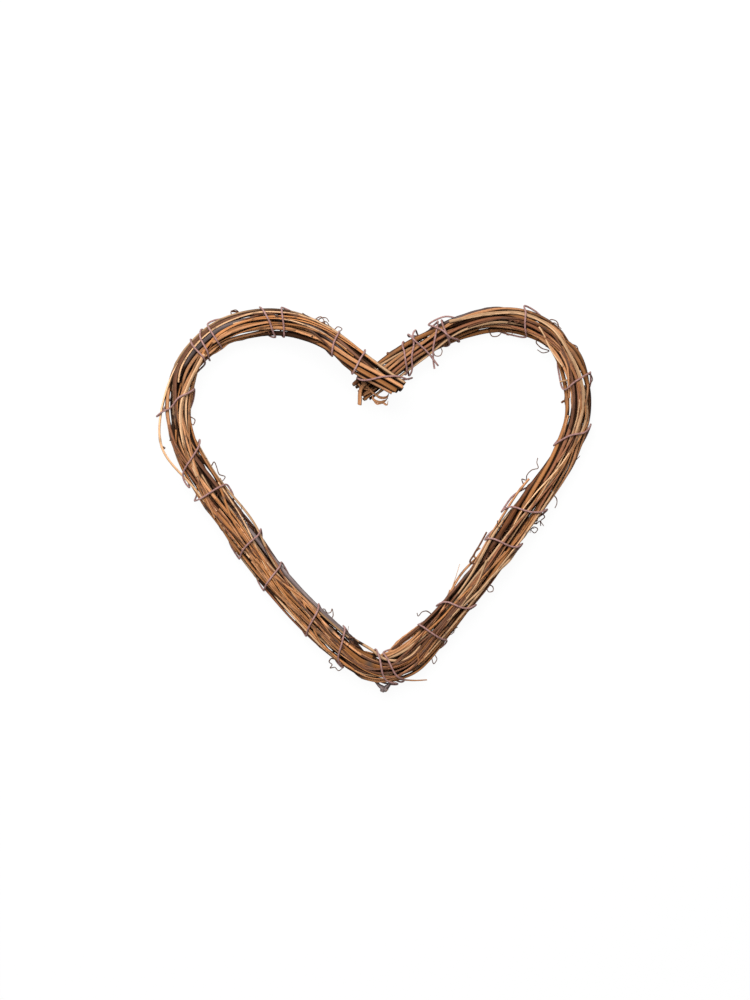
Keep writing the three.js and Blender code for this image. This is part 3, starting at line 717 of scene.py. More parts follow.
def rooted(bundle, places):
    """Places of a growth, with the nearest step of a vine before them unless they start inside it."""
    step = near_steps(bundle.tree, places[:1], 1)[0]
    if np.linalg.norm(bundle.spots[step] - places[0]) < bundle.sizes[step]:
        return places
    return np.concatenate([bundle.spots[step], places])


def twig(places, radii, sides, step, random, roughness=0.1, shades=(-1, 1)):
    """Slim tube through a row of places with radii spread evenly over them, a little uneven."""
    spread = np.interp(np.linspace(0, 1, len(places)), np.linspace(0, 1, len(radii)), radii)
    course, _, radius, along = even_course(places, spread, step)
    uneven = 1 + roughness * drift(random, along, 4 * step, sides)
    shade = np.full(len(along), random.uniform(*shades))
    return tube(course, carried_axes(course), radius[:, None] * uneven, along, shade=shade)


def ribbon(places, half_width, thickness, step, random):
    """Strip of bark: an oval section carried along a row of places, rolling a little from side to side."""
    course, _, wide, along = even_course(places, np.full(len(places), half_width), step)
    way, side, up = course_axes(course)
    roll = 0.5 * drift(random, along, ROLL_PITCH, 1)
    taper = np.clip(np.minimum(along, along[-1] - along) / NARROWING, 0.25, 1)
    cos, sin = np.cos(roll), np.sin(roll)
    axes = (way, cos * side + sin * up, cos * up - sin * side)
    edge = 1 + 0.25 * drift(random, along, EDGE_PITCH, STRIP_SIDES)
    shade = np.full(len(along), random.uniform(-0.5, 1))
    radius = (wide * taper)[:, None] * edge
    return tube(course, axes, radius, along, shade=shade, flat=thickness / half_width)


def slim_shoots(stems, look):
    """Thin shoots that lie on the vines, each crossing from over one vine to over another.

    In a view from above a shoot goes by an eased share from the one vine to the nearest steps of the other.
    Its height is the lowest that clears the vines below, then the highest and the mean of that over a short
    run, since a shoot is stiff.
    """
    random = np.random.default_rng((SEED, SLIM_DRAWS))
    bundle = gather(stems)
    vines = list(filter(is_vine, stems))
    shoots = []
    while len(shoots) < look.slim:
        first, second = (vines[i] for i in random.choice(len(vines), 2, replace=False))
        steps = int(random.uniform(*SLIM_LENGTHS) / look.slim_step)
        tone = random.choice(list(SLIM_TONES), p=list(SLIM_TONES.values()))
        radius = random.uniform(0.6, 1) * look.slim_radius
        start = random.integers(0, max(1, len(first.along) - steps))
        run = first.course[start : start + steps]
        reach = np.linalg.norm(run[:, None] - second.course[None], axis=2)
        if len(run) < steps or reach.min(axis=1).max() > look.slim_reach:
            continue
        nearest = reach.argmin(axis=1)
        ways = course_axes(run)[0] * course_axes(second.course)[0][nearest]
        if ways.sum(axis=1).min() < SLIM_ALIGNED:
            continue
        t = np.linspace(0, 1, steps)[:, None]
        along = np.linspace(0, steps * look.slim_step, steps)
        partner = second.course[nearest]
        places = run + (partner - run) * t * t * (3 - 2 * t)
        places[:, :2] += look.slim_wander * drift(random, along, SLIM_WANDER_PITCH, 2)
        places = running_mean(places, 9)
        high = resting_height(bundle, places, radius)
        if np.max(high - np.maximum(run[:, 2], partner[:, 2])) > look.slim_rise:
            continue
        high = np.lib.stride_tricks.sliding_window_view(np.pad(high, 3, mode="edge"), 7).max(axis=1)
        places[:, 2] = running_mean(high[:, None], 7)[:, 0]
        spread = np.linspace(*SLIM_TAPER, steps) * radius
        course, _, taper, along = even_course(places, spread, look.slim_step)
        knots = np.arange(random.uniform(SLIM_KNOT_START, SLIM_KNOT_GAP), along[-1], SLIM_KNOT_GAP)
        shoots.append(Shoot(str(tone), course, taper, along, knots))
    return shoots


def laid_shoots(stems, look):
    """Marked shoots that lie on the vines, each at the mean over a short run of the lowest height that
    clears the vines below."""
    bundle = gather(stems)
    laid = []
    for tone, radii, heights, marks in SHOOTS:
        if heights is not None:
            continue
        places = marks_to_places(marks, (0, 0))
        spread = np.linspace(*radii, len(places)) * MM
        course, _, radius, along = even_course(places, spread, look.slim_step)
        course[:, 2] = running_mean(resting_height(bundle, course, spread.max())[:, None], 5)[:, 0]
        laid.append(Shoot(tone, course, radius, along, np.zeros(0)))
    return laid


def running_mean(rows, width):
    """Mean of every row with the rows round it."""
    padded = np.pad(rows, ((width // 2, width // 2), (0, 0)), mode="edge")
    return np.lib.stride_tricks.sliding_window_view(padded, width, axis=0).mean(axis=-1)


def slim_surface(shoot, random):
    """Thin shoot: its radius times one plus a smooth random roughness and a swelling at each knot."""
    from_knots = (shoot.along[:, None] - shoot.knots) / SLIM_KNOT_LENGTH
    knot = np.exp(-(from_knots**2)).max(axis=1, initial=0)
    rough = 1 + 0.1 * drift(random, shoot.along, SLIM_ROUGH_PITCH, SLIM_SIDES) + 0.35 * knot[:, None]
    shade = random.uniform(-1, 0.6)
    shade = np.clip(shade + 0.3 * drift(random, shoot.along, SLIM_TONE_PITCH, 1)[:, 0], -1, 1)
    axes = course_axes(shoot.course)
    return tube(shoot.course, axes, shoot.radius[:, None] * rough, shoot.along, knot, shade)


def taut_wire(stems, shoots, look):
    """Course of the wire drawn tight on the vines and the thin shoots on them.

    The solid wire's course moves with the vines from their chords to their curves, and its steps on the
    front rise to the height that clears the stems below. Then each step that isn't slack goes part of the
    way to the middle of its neighbours, and straight out of any stem it has sunk into, again and again. At
    last the front rises once more.
    """
    joints = solid_joints("binding_wire", WIRE_CORNERS)[0]
    chords = np.concatenate([stem.chord for stem in stems])
    curves = np.concatenate([stem.course for stem in stems])
    near = near_steps(search_tree(chords), joints, NEAR_MARK)
    joints = joints + (curves[near] - chords[near]).mean(axis=1)
    wire = even_course(joints, np.zeros(len(joints)), look.step)[0]
    vines = gather(stems)
    front = wire[:, 2] > vines.spots[near_steps(vines.tree, wire, NEAR_WIRE)][..., 2].mean(axis=1)
    bundle = gather(stems + shoots)
    wire[front, 2] = np.maximum(wire[front, 2], resting_height(bundle, wire[front], look.radius))
    near = near_steps(bundle.tree, wire, NEAR_WIRE)
    rows = np.arange(len(wire))
    clear = np.linalg.norm(across_gap(bundle, near, wire[:, None]), axis=2) - bundle.sizes[near]
    grip = np.clip(2 - clear.min(axis=1) / look.slack, 0, 1)[1:-1, None]
    for _ in range(look.tightening):
        middle = (wire[:-2] + wire[2:]) / 2
        wire[1:-1] += look.pull * grip * (middle - wire[1:-1])
        gap = -across_gap(bundle, near, wire[:, None])
        distance = np.linalg.norm(gap, axis=2)
        sunk = bundle.sizes[near] * (1 + look.vine_fullness) + look.radius - distance
        deepest = np.argmax(sunk, axis=1)
        depth = np.maximum(sunk[rows, deepest], 0)
        wire += gap[rows, deepest] * (depth / np.maximum(distance[rows, deepest], CLOSEST))[:, None]
        wire[:, 2] = np.maximum(wire[:, 2], look.radius)
    for _ in range(look.settling):
        high = resting_height(bundle, wire, look.radius)
        wire[:, 2] = np.where(front, np.maximum(wire[:, 2], high), wire[:, 2])
        wire = running_mean(wire, 3)
    return wire


def bundle_middle(bundle, place):
    """Middle of the vines round a place."""
    return bundle.spots[near_steps(bundle.tree, [place], NEAR_BUNDLE)[0]].mean(axis=0)


def twig_stubs(stems, bundle, look, random):
    """Short stubs at knots on the outside of the bundle: out from its middle, leaning along the vine."""
    found = []
    for stem in filter(is_vine, stems):
        steps = np.searchsorted(stem.along, stem.knots)
        ways = np.gradient(stem.course, axis=0)[steps]
        for place, way, radius in zip(stem.course[steps], ways, stem.radius[steps]):
            out = place - bundle_middle(bundle, place)
            if np.linalg.norm(out) > OUTSIDE and out[2] > -OUTSIDE / 2:
                found.append((place, out / np.linalg.norm(out), way / np.linalg.norm(way), radius))
    picked = random.permutation(len(found))[: look.stubs]
    stubs = []
    for place, out, way, radius in (found[i] for i in picked):
        lean = out + random.choice([-1, 1]) * random.uniform(0.3, 1.2) * way
        lean /= np.linalg.norm(lean)
        reach = random.uniform(0.3, 1) * look.stub
        bend = 0.3 * reach * random.uniform(-1, 1, 3)
        halfway = place + lean * (radius + reach / 2) + bend / 2
        places = np.stack([place, halfway, place + lean * (radius + reach)])
        thick = radius * random.uniform(0.35, 0.6)
        places[:, 2] = np.maximum(places[:, 2], 2 * thick)
        stubs.append(twig(places, (thick * 1.25, thick), *TWIG_RINGS, random, 0.15))
    return stubs


def loose_strips(stems, bundle, look, step, random):
    """Strips of bark outside the bundle, each along a vine and off it by the cube of the way along."""
    vines = list(filter(is_vine, stems))
    strips = []
    while len(strips) < look.strips:
        stem = vines[random.integers(len(vines))]
        steps = int(random.uniform(*STRIP_LENGTHS) / step)
        if len(stem.along) < steps + STRIP_SPARE:
            continue
        first = random.integers(STRIP_MARGINS[0], len(stem.along) - steps - STRIP_MARGINS[1])
        run = np.arange(first, first + steps, 3)
        middle = bundle_middle(bundle, stem.course[run[len(run) // 2]])
        out = stem.course[run] - middle
        out[:, 2] = np.maximum(out[:, 2], MM)
        out /= np.linalg.norm(out, axis=1)[:, None]
        if np.linalg.norm(stem.course[run].mean(axis=0) - middle) < OUTSIDE:
            continue
        lift = STRIP_LIFTS[0] + STRIP_LIFTS[1] * np.linspace(0, 1, len(run)) ** 3
        places = stem.course[run] + out * (stem.radius[run] + lift)[:, None]
        half_width = look.strip * random.uniform(0.6, 1.2)
        strips.append(ribbon(places, half_width, STRIP_THICKNESS, STRIP_STEP, random))
    return strips


def bark_shreds(stems, bundle, look, random):
    """Shreds of dark bark in the gaps: short bent rods at the lowest of a few places beside a vine."""
    marked = near_steps(bundle.plan, marks_to_places(SHREDS, (0, 0)), NEAR_BUNDLE)
    of_vine = np.array([is_vine(stem) for stem in stems])
    steps = random.choice(np.flatnonzero(of_vine[bundle.owners]), look.crumbs)
    steps = np.append(steps, random.permuted(marked, axis=1)[:, :SHREDS_AT_MARK])
    count = len(steps)
    rows = np.arange(count)
    ways = bundle.ways[steps]
    sides = np.cross(ways, UPRIGHT)
    aside = random.uniform(-SHRED_ASIDE, SHRED_ASIDE, (SHRED_TRIES, count, 1))
    beside = bundle.spots[steps] + sides * aside
    heights = np.stack([resting_height(bundle, places, SHRED_GAP) for places in beside])
    lowest = np.argmin(np.where(heights < SHRED_FLOOR, 1, heights), axis=0)
    heights = heights[lowest, rows]
    middles = beside[lowest, rows] * (1, 1, 0) + UPRIGHT * heights[:, None]
    turn = random.normal(0, 0.5, (count, 1))
    reach = random.uniform(0.25, 1, (count, 1)) * look.crumb / 2
    half = (ways * np.cos(turn) + sides * np.sin(turn)) * reach
    bend = random.uniform(-0.25, 0.25, (count, 3)) * reach + UPRIGHT * SHRED_BEND
    places = np.stack([middles - half, middles + bend, middles + half], axis=1)
    thick = random.uniform(*SHRED_RADII, count)
    held = heights > SHRED_FLOOR
    return [
        twig(shred, (radius, radius / 2), *SHRED_RINGS, random)
        for shred, radius in zip(places[held], thick[held])
    ]


# Finishes


def shader_node(tree, kind, sockets=(), **settings):
    """New node with its settings, each named socket given a value or linked to another node's output."""
    made = tree.nodes.new(kind)
    for key, value in settings.items():
        setattr(made, key, value)
    for key, value in dict(sockets).items():
        if isinstance(value, bpy.types.NodeSocket):
            tree.links.new(value, made.inputs[key])
        else:
            made.inputs[key].default_value = value
    return made


def node_group(name, inputs, outputs):
    """Empty shader group of number sockets: its inputs by name with their defaults, its outputs' names."""
    tree = bpy.data.node_groups.new(name, "ShaderNodeTree")
    for label, default in inputs.items():
        socket = tree.interface.new_socket(label, in_out="INPUT", socket_type="NodeSocketFloat")
        socket.default_value = default
    for label in outputs:
        tree.interface.new_socket(label, in_out="OUTPUT", socket_type="NodeSocketFloat")
    return tree, tree.nodes.new("NodeGroupInput"), tree.nodes.new("NodeGroupOutput")


def math_node(tree, operation, *values):
    """Output of a sum, product or other operation on values."""
    return shader_node(tree, "ShaderNodeMath", dict(enumerate(values)), operation=operation).outputs[0]


def vector_node(tree, operation, sockets):
    """Output of an operation on vectors or colours."""
    return shader_node(tree, "ShaderNodeVectorMath", sockets, operation=operation).outputs[0]


def noise(tree, place, scale, detail, roughness=0.5):
    """Output of a smooth random pattern at a place."""
    sockets = {"Vector": place, "Scale": scale, "Detail": detail, "Roughness": roughness}
    return shader_node(tree, "ShaderNodeTexNoise", sockets).outputs["Fac"]


def remap(tree, value, start, end, low=0.0, high=1.0, easing="LINEAR"):
    """Output that goes from low to high while a value goes from start to end, and stays there."""
    sockets = {"Value": value, "From Min": start, "From Max": end, "To Min": low, "To Max": high}
    return shader_node(tree, "ShaderNodeMapRange", sockets, interpolation_type=easing).outputs[0]


def mix(tree, share, first, second):
    """Colour that goes from the first to the second by the share."""
    return shader_node(tree, "ShaderNodeMix", {0: share, 6: first, 7: second}, data_type="RGBA").outputs[2]


def point_value(tree, label, output="Fac"):
    """Value that a piece holds at each point."""
    return shader_node(tree, "ShaderNodeAttribute", attribute_name=label).outputs[output]


def opaque(colour, gain=1.0):
    """Four-part colour from a three-part one, scaled."""
    return (*(min(1.0, gain * part) for part in colour), 1.0)


def grain_group():
    """Streaks and fibres along a stem: noise drawn out along its length, from its own round coordinates."""
    name = "stem_grain"
    if name in bpy.data.node_groups:
        return bpy.data.node_groups[name]
    inputs = {"Around": 1.5, "Along": 60.0, "Offset": 0.0}
    tree, given, result = node_group(name, inputs, ["Streak", "Fibre"])
    around, along = given.outputs["Around"], given.outputs["Along"]
    scale = shader_node(tree, "ShaderNodeCombineXYZ", {"X": around, "Y": around, "Z": along}).outputs[0]
    stretched = vector_node(tree, "MULTIPLY", {0: point_value(tree, "stem", "Vector"), 1: scale})
    moved = vector_node(tree, "ADD", {0: stretched, 1: given.outputs["Offset"]})
    streak = remap(tree, noise(tree, moved, 1.0, 3.0), 0.3, 0.7)
    tree.links.new(streak, result.inputs["Streak"])
    tree.links.new(noise(tree, moved, 3.4, 4.0, 0.65), result.inputs["Fibre"])
    return tree


def weather_group():
    """Grey bloom and dark stains in patches over the whole wreath, from its own coordinates."""
    name = "weathering"
    if name in bpy.data.node_groups:
        return bpy.data.node_groups[name]
    inputs = {"Patch": 45.0, "Speck": 500.0}
    tree, given, result = node_group(name, inputs, ["Bloom", "Stain"])
    place = shader_node(tree, "ShaderNodeTexCoord").outputs["Object"]
    patch = noise(tree, place, given.outputs["Patch"], 4.0)
    speck = noise(tree, place, given.outputs["Speck"], 2.0)
    tree.links.new(remap(tree, patch, 0.5, 0.72), result.inputs["Bloom"])
    tree.links.new(remap(tree, speck, 0.54, 0.7), result.inputs["Stain"])
    return tree


def use_group(tree, group, sockets=()):
    """New node of a group with some of its sockets given values."""
    made = tree.nodes.new("ShaderNodeGroup")
    made.node_tree = group
    for key, value in dict(sockets).items():
        made.inputs[key].default_value = value
    return made


def new_finish(name, shine):
    """New material with one shader, whose tree and shader come with it."""
    material = bpy.data.materials.new(name)
    material.use_nodes = True
    tree = material.node_tree
    tree.nodes.clear()
    shader = shader_node(tree, "ShaderNodeBsdfPrincipled", {"Specular IOR Level": shine})
    target = tree.nodes.new("ShaderNodeOutputMaterial")
    tree.links.new(shader.outputs[0], target.inputs["Surface"])
    return material, tree, shader


def add_fibres(tree, shader, fibre, height, strength, depth):
    """Roughness of a shader from its fibres, and relief from a height."""
    tree.links.new(remap(tree, fibre, 0.0, 1.0, *DULLNESS), shader.inputs["Roughness"])
    sockets = {"Height": height, "Strength": strength, "Distance": depth}
    tree.links.new(shader_node(tree, "ShaderNodeBump", sockets).outputs[0], shader.inputs["Normal"])


def bark_finish(name, bark, look):
    """Dry bark: streaks along the stem, a slow change of tone, grey bloom, dark knots, pale cut ends, and
    painted shade where other vines shut it in.

    Where the bark has a fresh colour, that shows where the tone falls below its darkest.
    """
    if name in bpy.data.materials:
        return bpy.data.materials[name]
    material, tree, shader = new_finish(name, BARK_SHINE)
    grain = use_group(tree, grain_group(), {"Along": bark.along, "Offset": bark.offset})
    weather = use_group(tree, weather_group())
    streak, fibre = grain.outputs["Streak"], grain.outputs["Fibre"]
    knot, cut, shade, gloom = (point_value(tree, label) for label in POINT_VALUES)
    pale = [PALE_GAIN * part + PALE_GREY * bark.colour[0] for part in bark.colour]
    colour = mix(tree, streak, opaque(bark.colour, DARK_GAIN), opaque(pale))
    if bark.fresh is not None:
        fresh = mix(tree, streak, *(opaque(bark.fresh, gain) for gain in FRESH_GAINS))
        colour = mix(tree, remap(tree, shade, -2.0, -1.0), fresh, colour)
    tone = remap(tree, shade, -1.0, 1.0, *TONE_GAINS)
    colour = vector_node(tree, "SCALE", {0: colour, "Scale": tone})
    bloom = math_node(tree, "MULTIPLY", weather.outputs["Bloom"], bark.bloom)
    colour = mix(tree, bloom, colour, opaque(look.bloom_colour))
    stain = math_node(tree, "MULTIPLY", weather.outputs["Stain"], STAIN_SHARE)
    colour = mix(tree, stain, colour, opaque(bark.colour, STAIN_GAIN))
    colour = mix(tree, math_node(tree, "MULTIPLY", knot, KNOT_SHARE), colour, opaque(look.knot_colour))
    colour = mix(tree, cut, colour, opaque(look.cut_colour))
    # Painted shade: the colour goes towards the shade colour where other vines shut the bark in
    shut = remap(tree, gloom, *PAINTED_SHADE_RANGE, high=PAINTED_SHADE_SHARE, easing="SMOOTHSTEP")
    colour = mix(tree, shut, colour, opaque(look.gap_colour))
    tree.links.new(colour, shader.inputs["Base Color"])
    height = math_node(tree, "ADD", streak, fibre)
    add_fibres(tree, shader, fibre, height, bark.relief, BARK_RELIEF)
    return material


def vine_finish(slot, look):
    """Finish of a vine by its material slot."""
    barks = {
        "orange_vine": Bark(look.orange, 0.0, 0.1),
        "tan_vine": Bark(look.tan, 3.0, 0.12),
        "red_vine": Bark(look.red, 7.0, 0.12),
        "straw_vine": Bark(look.straw, 11.0, 0.1),
        "dark_vine": Bark(look.dark, 17.0, 0.08),
        "old_wood": Bark(look.old, 23.0, 0.3, along=60.0, relief=0.5, fresh=look.red),
    }
    return bark_finish(f"bark_{slot}", barks[slot], look)


def wire_finish(look):
    """Paper wound on wire: a seam that climbs round it, fibres, and rubbed pale places."""
    name = "paper_wire"
    if name in bpy.data.materials:
        return bpy.data.materials[name]
    material, tree, shader = new_finish(name, PAPER_SHINE)
    parts = shader_node(tree, "ShaderNodeSeparateXYZ", {0: point_value(tree, "stem", "Vector")})
    turn = math_node(tree, "ARCTAN2", parts.outputs["Y"], parts.outputs["X"])
    turns = math_node(tree, "DIVIDE", turn, 2 * math.pi)
    climbs = math_node(tree, "DIVIDE", parts.outputs["Z"], look.wrap_pitch)
    seam = math_node(tree, "FRACT", math_node(tree, "ADD", turns, climbs))
    grain = use_group(tree, grain_group(), PAPER_GRAIN)
    weather = use_group(tree, weather_group(), PAPER_PATCHES)
    fibre = grain.outputs["Fibre"]
    colour = mix(tree, fibre, *(opaque(look.colour, gain) for gain in FIBRE_GAINS))
    at_seam = math_node(tree, "GREATER_THAN", seam, SEAM_START)
    colour = mix(tree, at_seam, colour, opaque(look.colour, SEAM_GAIN))
    rubbed = math_node(tree, "MULTIPLY", weather.outputs["Bloom"], RUBBED_SHARE)
    colour = mix(tree, rubbed, colour, opaque(look.rubbed))
    tree.links.new(colour, shader.inputs["Base Color"])
    height = math_node(tree, "ADD", seam, fibre)
    add_fibres(tree, shader, fibre, height, look.relief, PAPER_RELIEF)
    return material


# Settings


def length(name, description, default):
    """Setting of a size in metres."""
    return FloatProperty(name=name, description=description, default=default, unit="LENGTH", precision=5)


def share(name, description, default):
    """Setting of a share of something else."""
    return FloatProperty(name=name, description=description, default=default, subtype="FACTOR")


def number(name, description, default):
    """Setting of a whole number."""
    return IntProperty(name=name, description=description, default=default)


def tint(name, description, default):
    """Setting of a colour."""
    return FloatVectorProperty(
        name=name, description=description, default=default, subtype="COLOR", min=0, max=1
    )


class WREATH_PG_vines(bpy.types.PropertyGroup):
    """Shape and colours of the vines."""

    step: length("Step", "Distance between the rings of a vine's surface", 0.0018)
    sides: number("Sides", "Corners of each ring of a vine's surface", 12)
    fullness: share("Fullness", "How much a vine is fuller than its solid's corners", 0.03)
    ridge: share("Ridges", "Depth of the ridges as a share of the radius", 0.05)
    swell: share("Swelling", "Rise at a knot as a share of the radius", 0.3)
    bud: share("Bud", "Rise of a bud beside its knot as a share of the radius", 0.5)
    knot_gap: length("Knot gap", "Usual distance from one knot to the next", 0.075)
    kink: length("Kink", "How far a vine steps aside at a knot", 0.0004)
    wander: length("Wander", "How far a vine strays from its smooth course", 0.0004)
    wander_length: length("Wander length", "Distance over which a vine strays", 0.03)
    brim_reach: FloatVectorProperty(
        name="Brims",
        description="Two distances beside a vine at which its brims are felt",
        default=(0.0012, 0.0026),
        size=2,
        unit="LENGTH",
    )
    brim_depth: length("Brim depth", "Depth below the brims that no light reaches", 0.003)
    orange: tint("Orange bark", "Bark of the orange-brown vines", (0.245, 0.09, 0.02))
    tan: tint("Tan bark", "Bark of the tan vines", (0.275, 0.117, 0.042))
    red: tint("Red bark", "Bark of the red-brown vines", (0.15, 0.053, 0.02))
    straw: tint("Straw bark", "Bark of the peeled vines", (0.345, 0.195, 0.095))
    dark: tint("Dark bark", "Bark of the dark vines", (0.082, 0.032, 0.015))
    pale_place: length("Pale place", "Middle of the old stem's pale stretch, from its start", 0.32)
    pale_reach: length("Pale reach", "Half the length of the old stem's pale stretch", 0.085)
    fresh_place: length("Fresh place", "Middle of the old stem's fresh stretch, from its start", 0.6)
    fresh_reach: length("Fresh reach", "Half the length of the old stem's fresh stretch", 0.145)
    old: tint("Old wood", "Bark of the old stems", (0.088, 0.065, 0.062))
    bloom_colour: tint("Bloom", "Grey bloom on the bark", (0.19, 0.15, 0.125))
    knot_colour: tint("Knots", "Bark at the knots", (0.06, 0.04, 0.03))
    cut_colour: tint("Cut wood", "Wood of the cut ends", (0.33, 0.2, 0.1))
    # Painted shade: the colour that the bark darkens to where other vines shut it in
    gap_colour: tint("Gaps", "Bark where the vines lie close", (0.018, 0.007, 0.0035))


class WREATH_PG_wire(bpy.types.PropertyGroup):
    """Shape and colour of the binding wire."""

    radius: length("Radius", "Half the thickness of the paper-covered wire", 0.00066)
    step: length("Step", "Distance between the rings of the wire's surface", 0.0012)
    sides: number("Sides", "Corners of each ring of the wire's surface", 8)
    tightening: number("Tightening", "Rounds of drawing the wire tight", 30)
    settling: number("Settling", "Rounds of laying the wire on the front", 3)
    pull: share("Pull", "How far a step of the wire goes to its neighbours' middle in a round", 0.4)
    slack: length("Slack", "Distance from the vines at which the wire counts as slack", 0.0018)
    vine_fullness: share("Vine fullness", "How much the vines are fuller than their solids' corners", 0.03)
    wrap_pitch: length("Wrap pitch", "Distance between the turns of the paper", 0.004)
    relief: share("Relief", "Strength of the paper's fibres and seam", 0.35)
    colour: tint("Paper", "Paper round the wire", (0.215, 0.114, 0.102))
    rubbed: tint("Rubbed paper", "Places where the paper is rubbed pale", (0.33, 0.21, 0.195))


class WREATH_PG_growth(bpy.types.PropertyGroup):
    """Tendrils, side shoots, twig stubs and loose bark."""

    slim: number("Thin shoots", "Number of thin shoots on the vines", 56)
    slim_radius: length("Thin shoot", "Radius of the thickest of the thin shoots", 0.0008)
    slim_step: length("Thin shoot step", "Distance between the rings of a thin shoot", 0.0018)
    slim_reach: length("Thin shoot reach", "How far apart two vines may be that a thin shoot joins", 0.022)
    slim_rise: length("Thin shoot rise", "How far above its vines a thin shoot may lie", 0.01)
    slim_wander: length("Thin shoot wander", "How far a thin shoot strays", 0.0008)
    tendril: length("Tendril", "Radius of a tendril where it leaves the vine", 0.00042)
    tendril_tip: length("Tendril tip", "Radius of a tendril at its tip", 0.0003)
    stubs: number("Stubs", "Number of short twig stubs on the outer vines", 70)
    stub: length("Stub", "Longest twig stub", 0.0036)
    crumbs: number("Crumbs", "Number of shreds of dark bark in the gaps", 110)
    crumb: length("Crumb", "Longest shred of dark bark", 0.007)
    strips: number("Strips", "Number of loose strips of bark", 16)
    strip: length("Strip", "Half the width of a loose strip of bark", 0.0007)


class WREATH_PG_stage(bpy.types.PropertyGroup):
    """Camera, lights and floor."""

    view_height: length("View height", "Height of the view at the middle of the bundle", 1000 * MARK)
    middle: length("Middle", "Height of the middle of the bundle above the floor", 0.01)
    lens: FloatProperty(
        name="Lens", description="Focal length in millimetres", default=85, subtype="DISTANCE_CAMERA"
    )
    sensor: FloatProperty(
        name="Sensor",
        description="Longer side of the sensor in millimetres",
        default=36,
        subtype="DISTANCE_CAMERA",
    )
    key: FloatProperty(
        name="Key light", description="Power of the large soft light", default=72, unit="POWER"
    )
    key_size: length("Key light size", "Side of the large soft light", 1.2)
    key_place: FloatVectorProperty(
        name="Key light place",
        description="Place of the large soft light, which faces the wreath",
        default=(-0.25, 0.75, 1.5),
        subtype="TRANSLATION",
    )
    ambient: share("Ambient", "Strength of the light from all round", 0.26)
    floor: tint("Floor", "Paper that the wreath lies on", (0.6, 0.6, 0.6))
    floor_half: length("Floor half", "Half the side of the paper", 12.0)
    glow: share("Glow", "How much of the paper's own white the view sees over its shadows", 0.95)


# Building


class WREATH_OT_vines(bpy.types.Operator):
    """Build the bark of every vine over its solid"""

    bl_idname = "wreath.vines"
    bl_label = "Vines"

    def execute(self, context):
        look = context.scene.wreath_vines
        stems = lay_stems(look)
        bundle = gather(stems)
        for index, stem in enumerate(stems):
            slot = SLOT_OF[stem.node]
            surface = bark_surface(stem, index, bundle, look)
            piece = add_piece(f"bark_{stem.node}", surface, vine_finish(slot, look))
            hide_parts(stem.node)
        return {"FINISHED"}


class WREATH_OT_binding_wire(bpy.types.Operator):
    """Wind the paper-covered wire round the bundle"""

    bl_idname = "wreath.binding_wire"
    bl_label = "Binding wire"

    def execute(self, context):
        look = context.scene.wreath_wire
        stems = lay_stems(context.scene.wreath_vines)
        growth = context.scene.wreath_growth
        course = taut_wire(stems, slim_shoots(stems, growth) + laid_shoots(stems, growth), look)
        along = np.concatenate([[0], np.cumsum(np.linalg.norm(np.diff(course, axis=0), axis=1))])
        radius = np.full((len(course), look.sides), look.radius)
        surface = tube(course, carried_axes(course), radius, along)
        piece = add_piece("paper_wire", surface, wire_finish(look))
        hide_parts("binding_wire")
        return {"FINISHED"}


class WREATH_OT_forked_stub(bpy.types.Operator):
    """Build the forked stub of old wood below the heart's point"""

    bl_idname = "wreath.forked_stub"
    bl_label = "Forked stub"

    def execute(self, context):
        look = context.scene.wreath_vines
        random = np.random.default_rng((SEED, STUB_DRAWS))
        middle = np.mean(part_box("forked_stub"), axis=0)
        arms = []
        for marks in STUB_ARMS:
            places = middle + np.array(marks) * MM
            arms.append(twig(places, np.array(STUB_RADII) * MM, *STUB_RINGS, random, 0.2, (0, 0.2)))
        piece = add_piece("stub_wood", joined(arms), vine_finish("old_wood", look))
        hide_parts("forked_stub")
        return {"FINISHED"}


class WREATH_OT_tendrils(bpy.types.Operator):
    """Build the thin curling tendrils at the bundle's edges"""

    bl_idname = "wreath.tendrils"
    bl_label = "Tendrils"

    def execute(self, context):
        look = context.scene.wreath_growth
        random = np.random.default_rng((SEED, TENDRIL_DRAWS))
        bundle = gather(lay_stems(context.scene.wreath_vines))
        curls = []
        for height, marks in TENDRILS:
            places = marks_to_places(marks, (height or 0, height or 0))
            places[1:, 2] += random.uniform(-TENDRIL_STRAY, TENDRIL_STRAY, len(places) - 1)
            if height is None:
                places[:, 2] = resting_height(bundle, places, look.tendril) + look.tendril
            places = rooted(bundle, places)
            curls.append(twig(places, (look.tendril, look.tendril_tip), *TENDRIL_RINGS, random, 0.15))
        finish = vine_finish("dark_vine", context.scene.wreath_vines)
        add_piece("tendrils", joined(curls), finish)
        return {"FINISHED"}


class WREATH_OT_side_shoots(bpy.types.Operator):
    """Build the side shoots, and the short twig stubs on the outer vines"""

    bl_idname = "wreath.side_shoots"
    bl_label = "Side shoots"

    def execute(self, context):
        look = context.scene.wreath_growth
        vine_look = context.scene.wreath_vines
        random = np.random.default_rng((SEED, SHOOT_DRAWS))
        stems = lay_stems(vine_look)
        bundle = gather(stems)
        by_tone = {}
        for shoot in slim_shoots(stems, look) + laid_shoots(stems, look):
            by_tone.setdefault(shoot.tone, []).append(slim_surface(shoot, random))
        for tone, radii, heights, marks in SHOOTS:
            if heights is None:
                continue
            places = rooted(bundle, marks_to_places(marks, heights))
            radii = tuple(radius * MM for radius in radii)
            shoot = twig(places, radii, *SHOOT_RINGS, random, 0.12, (-0.8, 0.3))
            by_tone.setdefault(tone, []).append(shoot)
        by_tone.setdefault("dark_vine", []).extend(twig_stubs(stems, bundle, look, random))
        for tone, shoots in by_tone.items():
            add_piece(f"shoots_{tone}", joined(shoots), vine_finish(tone, vine_look))
        return {"FINISHED"}


